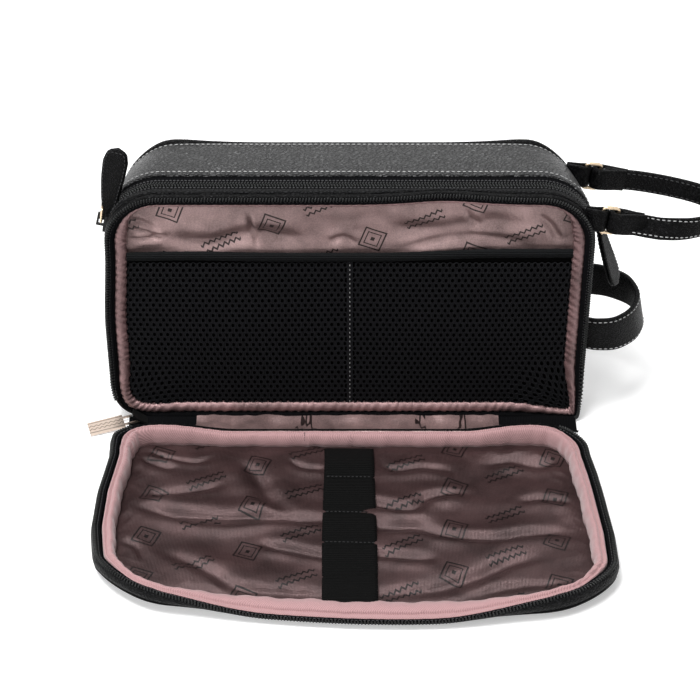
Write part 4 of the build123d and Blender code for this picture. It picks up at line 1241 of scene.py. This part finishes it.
bar_front, bar_rear = (RING_LENGTH, 0.0), (RING_LENGTH + REAR_EYE[0], REAR_EYE[1])
strap_points = (
    (bar_front[0] + 2.4, -0.2, 0),
    (bar_front[0] + 9, -0.1, -0.3),
    (bar_front[0] + 17, -0.3, -0.9),
    (34, 0.2, -1.4),
    (48, 3.2, -1.0),
    (61, 10, 0.2),
    (69.5, 21, 1.0),
    (68.5, 32, 0.8),
    (59, 41, 0.4),
    (44, 46.5, 0),
    (28, 48.6, 0),
    (bar_rear[0] + 10, 48.3, 0),
    (bar_rear[0] + 2.4, 48.2, 0),
)
strap_line = smooth_line([strap_point(*point) for point in strap_points], 110)
lean = 0.75 * np.exp(-(((np.linspace(0, 1, 110) - 0.13) / 0.11) ** 2))
strap_up = STRAP_Z + lean[:, None] * np.array([0.15, 1.0, 0.0])
wide, thick = ribbon("hand_strap", strap_line, strap_up, STRAP_WIDTH, STRAP_THICKNESS, "strap", "carry_strap")
outward = outward_of(thick, strap_line, strap_point(30, 24))
for label, offset in (("upper", 4.4), ("lower", -4.4)):
    for inner, way, material in (("", 1, THREAD), ("inner_", -1, DARK_THREAD)):
        line = strap_line + wide * offset + way * outward * 1.35
        sew("strap_stitches_" + inner + label, line, way * outward, material, "strap", pitch=3.0)
for side, bar, outer in (("front", bar_front, -1), ("rear", bar_rear, 1)):
    line = [(14, -0.7), (9, -1.3), (4.5, -2.6)]
    for k in range(11):
        angle = math.radians(90 + 18 * k)
        line.append((FOLD_RADIUS * math.cos(angle), -FOLD_SIDE_RADIUS * math.sin(angle)))
    line += [(4.5, 2.7), (9, 1.8), (15, 0.9)]
    line = np.array([strap_point(bar[0] + x, bar[1] + outer * y) for x, y in line])
    ribbon("strap_fold_" + side, line, STRAP_Z, FOLD_WIDTH, STRAP_THICKNESS, "strap", edge=0.7)

# Leather pullers on the main zip, and their wire links

PIVOT_X, PIVOT_Z = 131.942, 127.669
PULLER_LENGTH = 44.0
PLY_HALF = 0.66
LINK_LENGTH, LINK_HALF, LINK_CORNER, LINK_WIRE = 8.0, 3.5, 1.4, 0.7


def leaf_half_width(share):
    """Half width of a puller from its root to its tip."""
    return np.interp(share, [0, 0.1, 0.3, 0.6, 0.82, 0.93, 0.98, 1.0], [2.7, 3.2, 4.8, 6.3, 6.75, 5.6, 3.6, 0.6])


def puller(side, lean_degrees, up_sign, body, width_way, bend, root):
    """Two plies of leather sewn to a leaf that starts at root on the link, and is bent sideways to the tip."""
    lean = math.radians(lean_degrees)
    pivot = np.array([PIVOT_X * (-1 if side == "left" else 1), CHAIN_Y, PIVOT_Z])
    way = np.array([math.sin(lean), 0, up_sign * math.cos(lean)])
    wide = np.array(width_way, float)
    wide = unit(wide - wide @ way * way)
    face = np.cross(wide, way)

    def on_leaf(share, offset_wide, offset_face):
        share, offset_wide, offset_face = (values[..., None] for values in as_arrays(share, offset_wide, offset_face))
        drift = (bend[0] * ease(share, -0.15, 0.25) + bend[1] * share**2) * np.array([1.0, 0, 0])
        centre = pivot + way * (root + (PULLER_LENGTH - root) * share) + drift
        return centre + wide * offset_wide + face * offset_face

    share = np.linspace(0, 1, 30)[:, None]
    angle = 2 * math.pi * np.arange(16) / 16
    squarish_cos = np.sign(np.cos(angle)) * np.abs(np.cos(angle)) ** 0.6
    squarish_sin = np.sign(np.sin(angle)) * np.abs(np.sin(angle)) ** 0.6
    for ply, sign in (("a", 1), ("b", -1)):
        out = sign * (PLY_HALF + 0.12 * np.sin(math.pi * share)) + PLY_HALF * squarish_sin
        leaf = on_leaf(share, leaf_half_width(share) * squarish_cos, out)
        replaced = ["leather_puller_" + side] if ply == "a" else ()
        capped(f"puller_{side}_{ply}", leaf, SMOOTH_LEATHER, body, replaced)
    there = np.linspace(0.06, 0.96, 30)
    share = np.concatenate([there, np.linspace(0.96, 0.06, 30)])
    offset = np.repeat([1, -1], 30) * (leaf_half_width(share) - 1.1)
    for label, sign in (("a", 1), ("b", -1)):
        line = on_leaf(share, offset, sign * 1.42)
        name = f"puller_{side}_stitches_{label}"
        sew(name, line, face * sign, DARK_THREAD, body, pitch=2.4, size=(1.7, 0.4, 0.35))
    loop = rounded_loop(LINK_LENGTH, LINK_HALF, LINK_CORNER, 5)
    line = [pivot + way * x + np.array([0, y, 0]) for x, y in loop]
    wire("wire_link_" + side, line, LINK_WIRE, body, "pull_link_" + side)


puller("left", 8.0, 1, "left_pull", (1, -0.25, 0), (3.4, 2.2), 0.2)
puller("right", 17.0, -1, "right_pull", (0.42, 1, 0), (-0.6, 0.6), 3.2)

# Floor and world: plain white, and lit up to white where the camera and reflections see them

FLOOR_GLOW = 0.4
WORLD_LIGHT = 0.3
floor_paint = Shader("floor", (0.8, 0.8, 0.8), 0.9, specular=0.1)
glow = floor_paint.node(
    "ShaderNodeEmission",
    "Emission",
    Color=(1, 1, 1, 1),
    Strength=floor_paint.math("MULTIPLY", floor_paint.seen(), FLOOR_GLOW),
)
both = floor_paint.join("ShaderNodeAddShader", floor_paint.principled.outputs["BSDF"], glow)
floor_paint.links.new(both, floor_paint.nodes["Material Output"].inputs["Surface"])

bpy.ops.mesh.primitive_plane_add(size=8, location=(0, 0.5, -0.0003))
floor = bpy.context.object
floor.name = "floor"
floor.data.materials.append(floor_paint.material)

world = bpy.data.worlds.new("studio")
bpy.context.scene.world = world
world.use_nodes = True
sky = Graph(world.node_tree)
background = sky.nodes["Background"]
background.inputs["Color"].default_value = (1, 1, 1, 1)
sky.feed(background.inputs["Strength"], sky.math("MULTIPLY_ADD", sky.seen(), 1 - WORLD_LIGHT, WORLD_LIGHT))

# Lamps and camera


def aim(made, location, target):
    """Places a lamp or the camera and turns it to a point."""
    made.location = location
    made.rotation_euler = (Vector(target) - Vector(location)).to_track_quat("-Z", "Y").to_euler()
    bpy.context.scene.collection.objects.link(made)


def softbox(name, location, target, size, power):
    """A large square lamp aimed at a point."""
    lamp = bpy.data.lights.new(name, "AREA")
    lamp.shape = "SQUARE"
    lamp.size = size
    lamp.energy = power
    aim(bpy.data.objects.new(name, lamp), location, target)


softbox("top_light", (-0.25, -0.35, 1.35), (0, -0.05, 0.08), 0.55, 24)
softbox("back_light", (0.1, 1.3, 1.3), (0, 0, 0.12), 0.9, 8)
softbox("left_light", (-1.2, -0.9, 0.8), (0, -0.05, 0.08), 0.7, 7)

ELEVATION = math.radians(37.6)
CAMERA_DISTANCE = 1.077
CAMERA_TARGET = Vector((0.0001, -0.080, 0.0905))
camera_data = bpy.data.cameras.new("camera")
camera_data.sensor_width = 36.0
camera_data.lens = 107.1
camera = bpy.data.objects.new("camera", camera_data)
offset = CAMERA_DISTANCE * Vector((0, -math.cos(ELEVATION), math.sin(ELEVATION)))
aim(camera, CAMERA_TARGET + offset, CAMERA_TARGET)
bpy.context.scene.camera = camera
bpy.context.scene.view_settings.view_transform = "Standard"
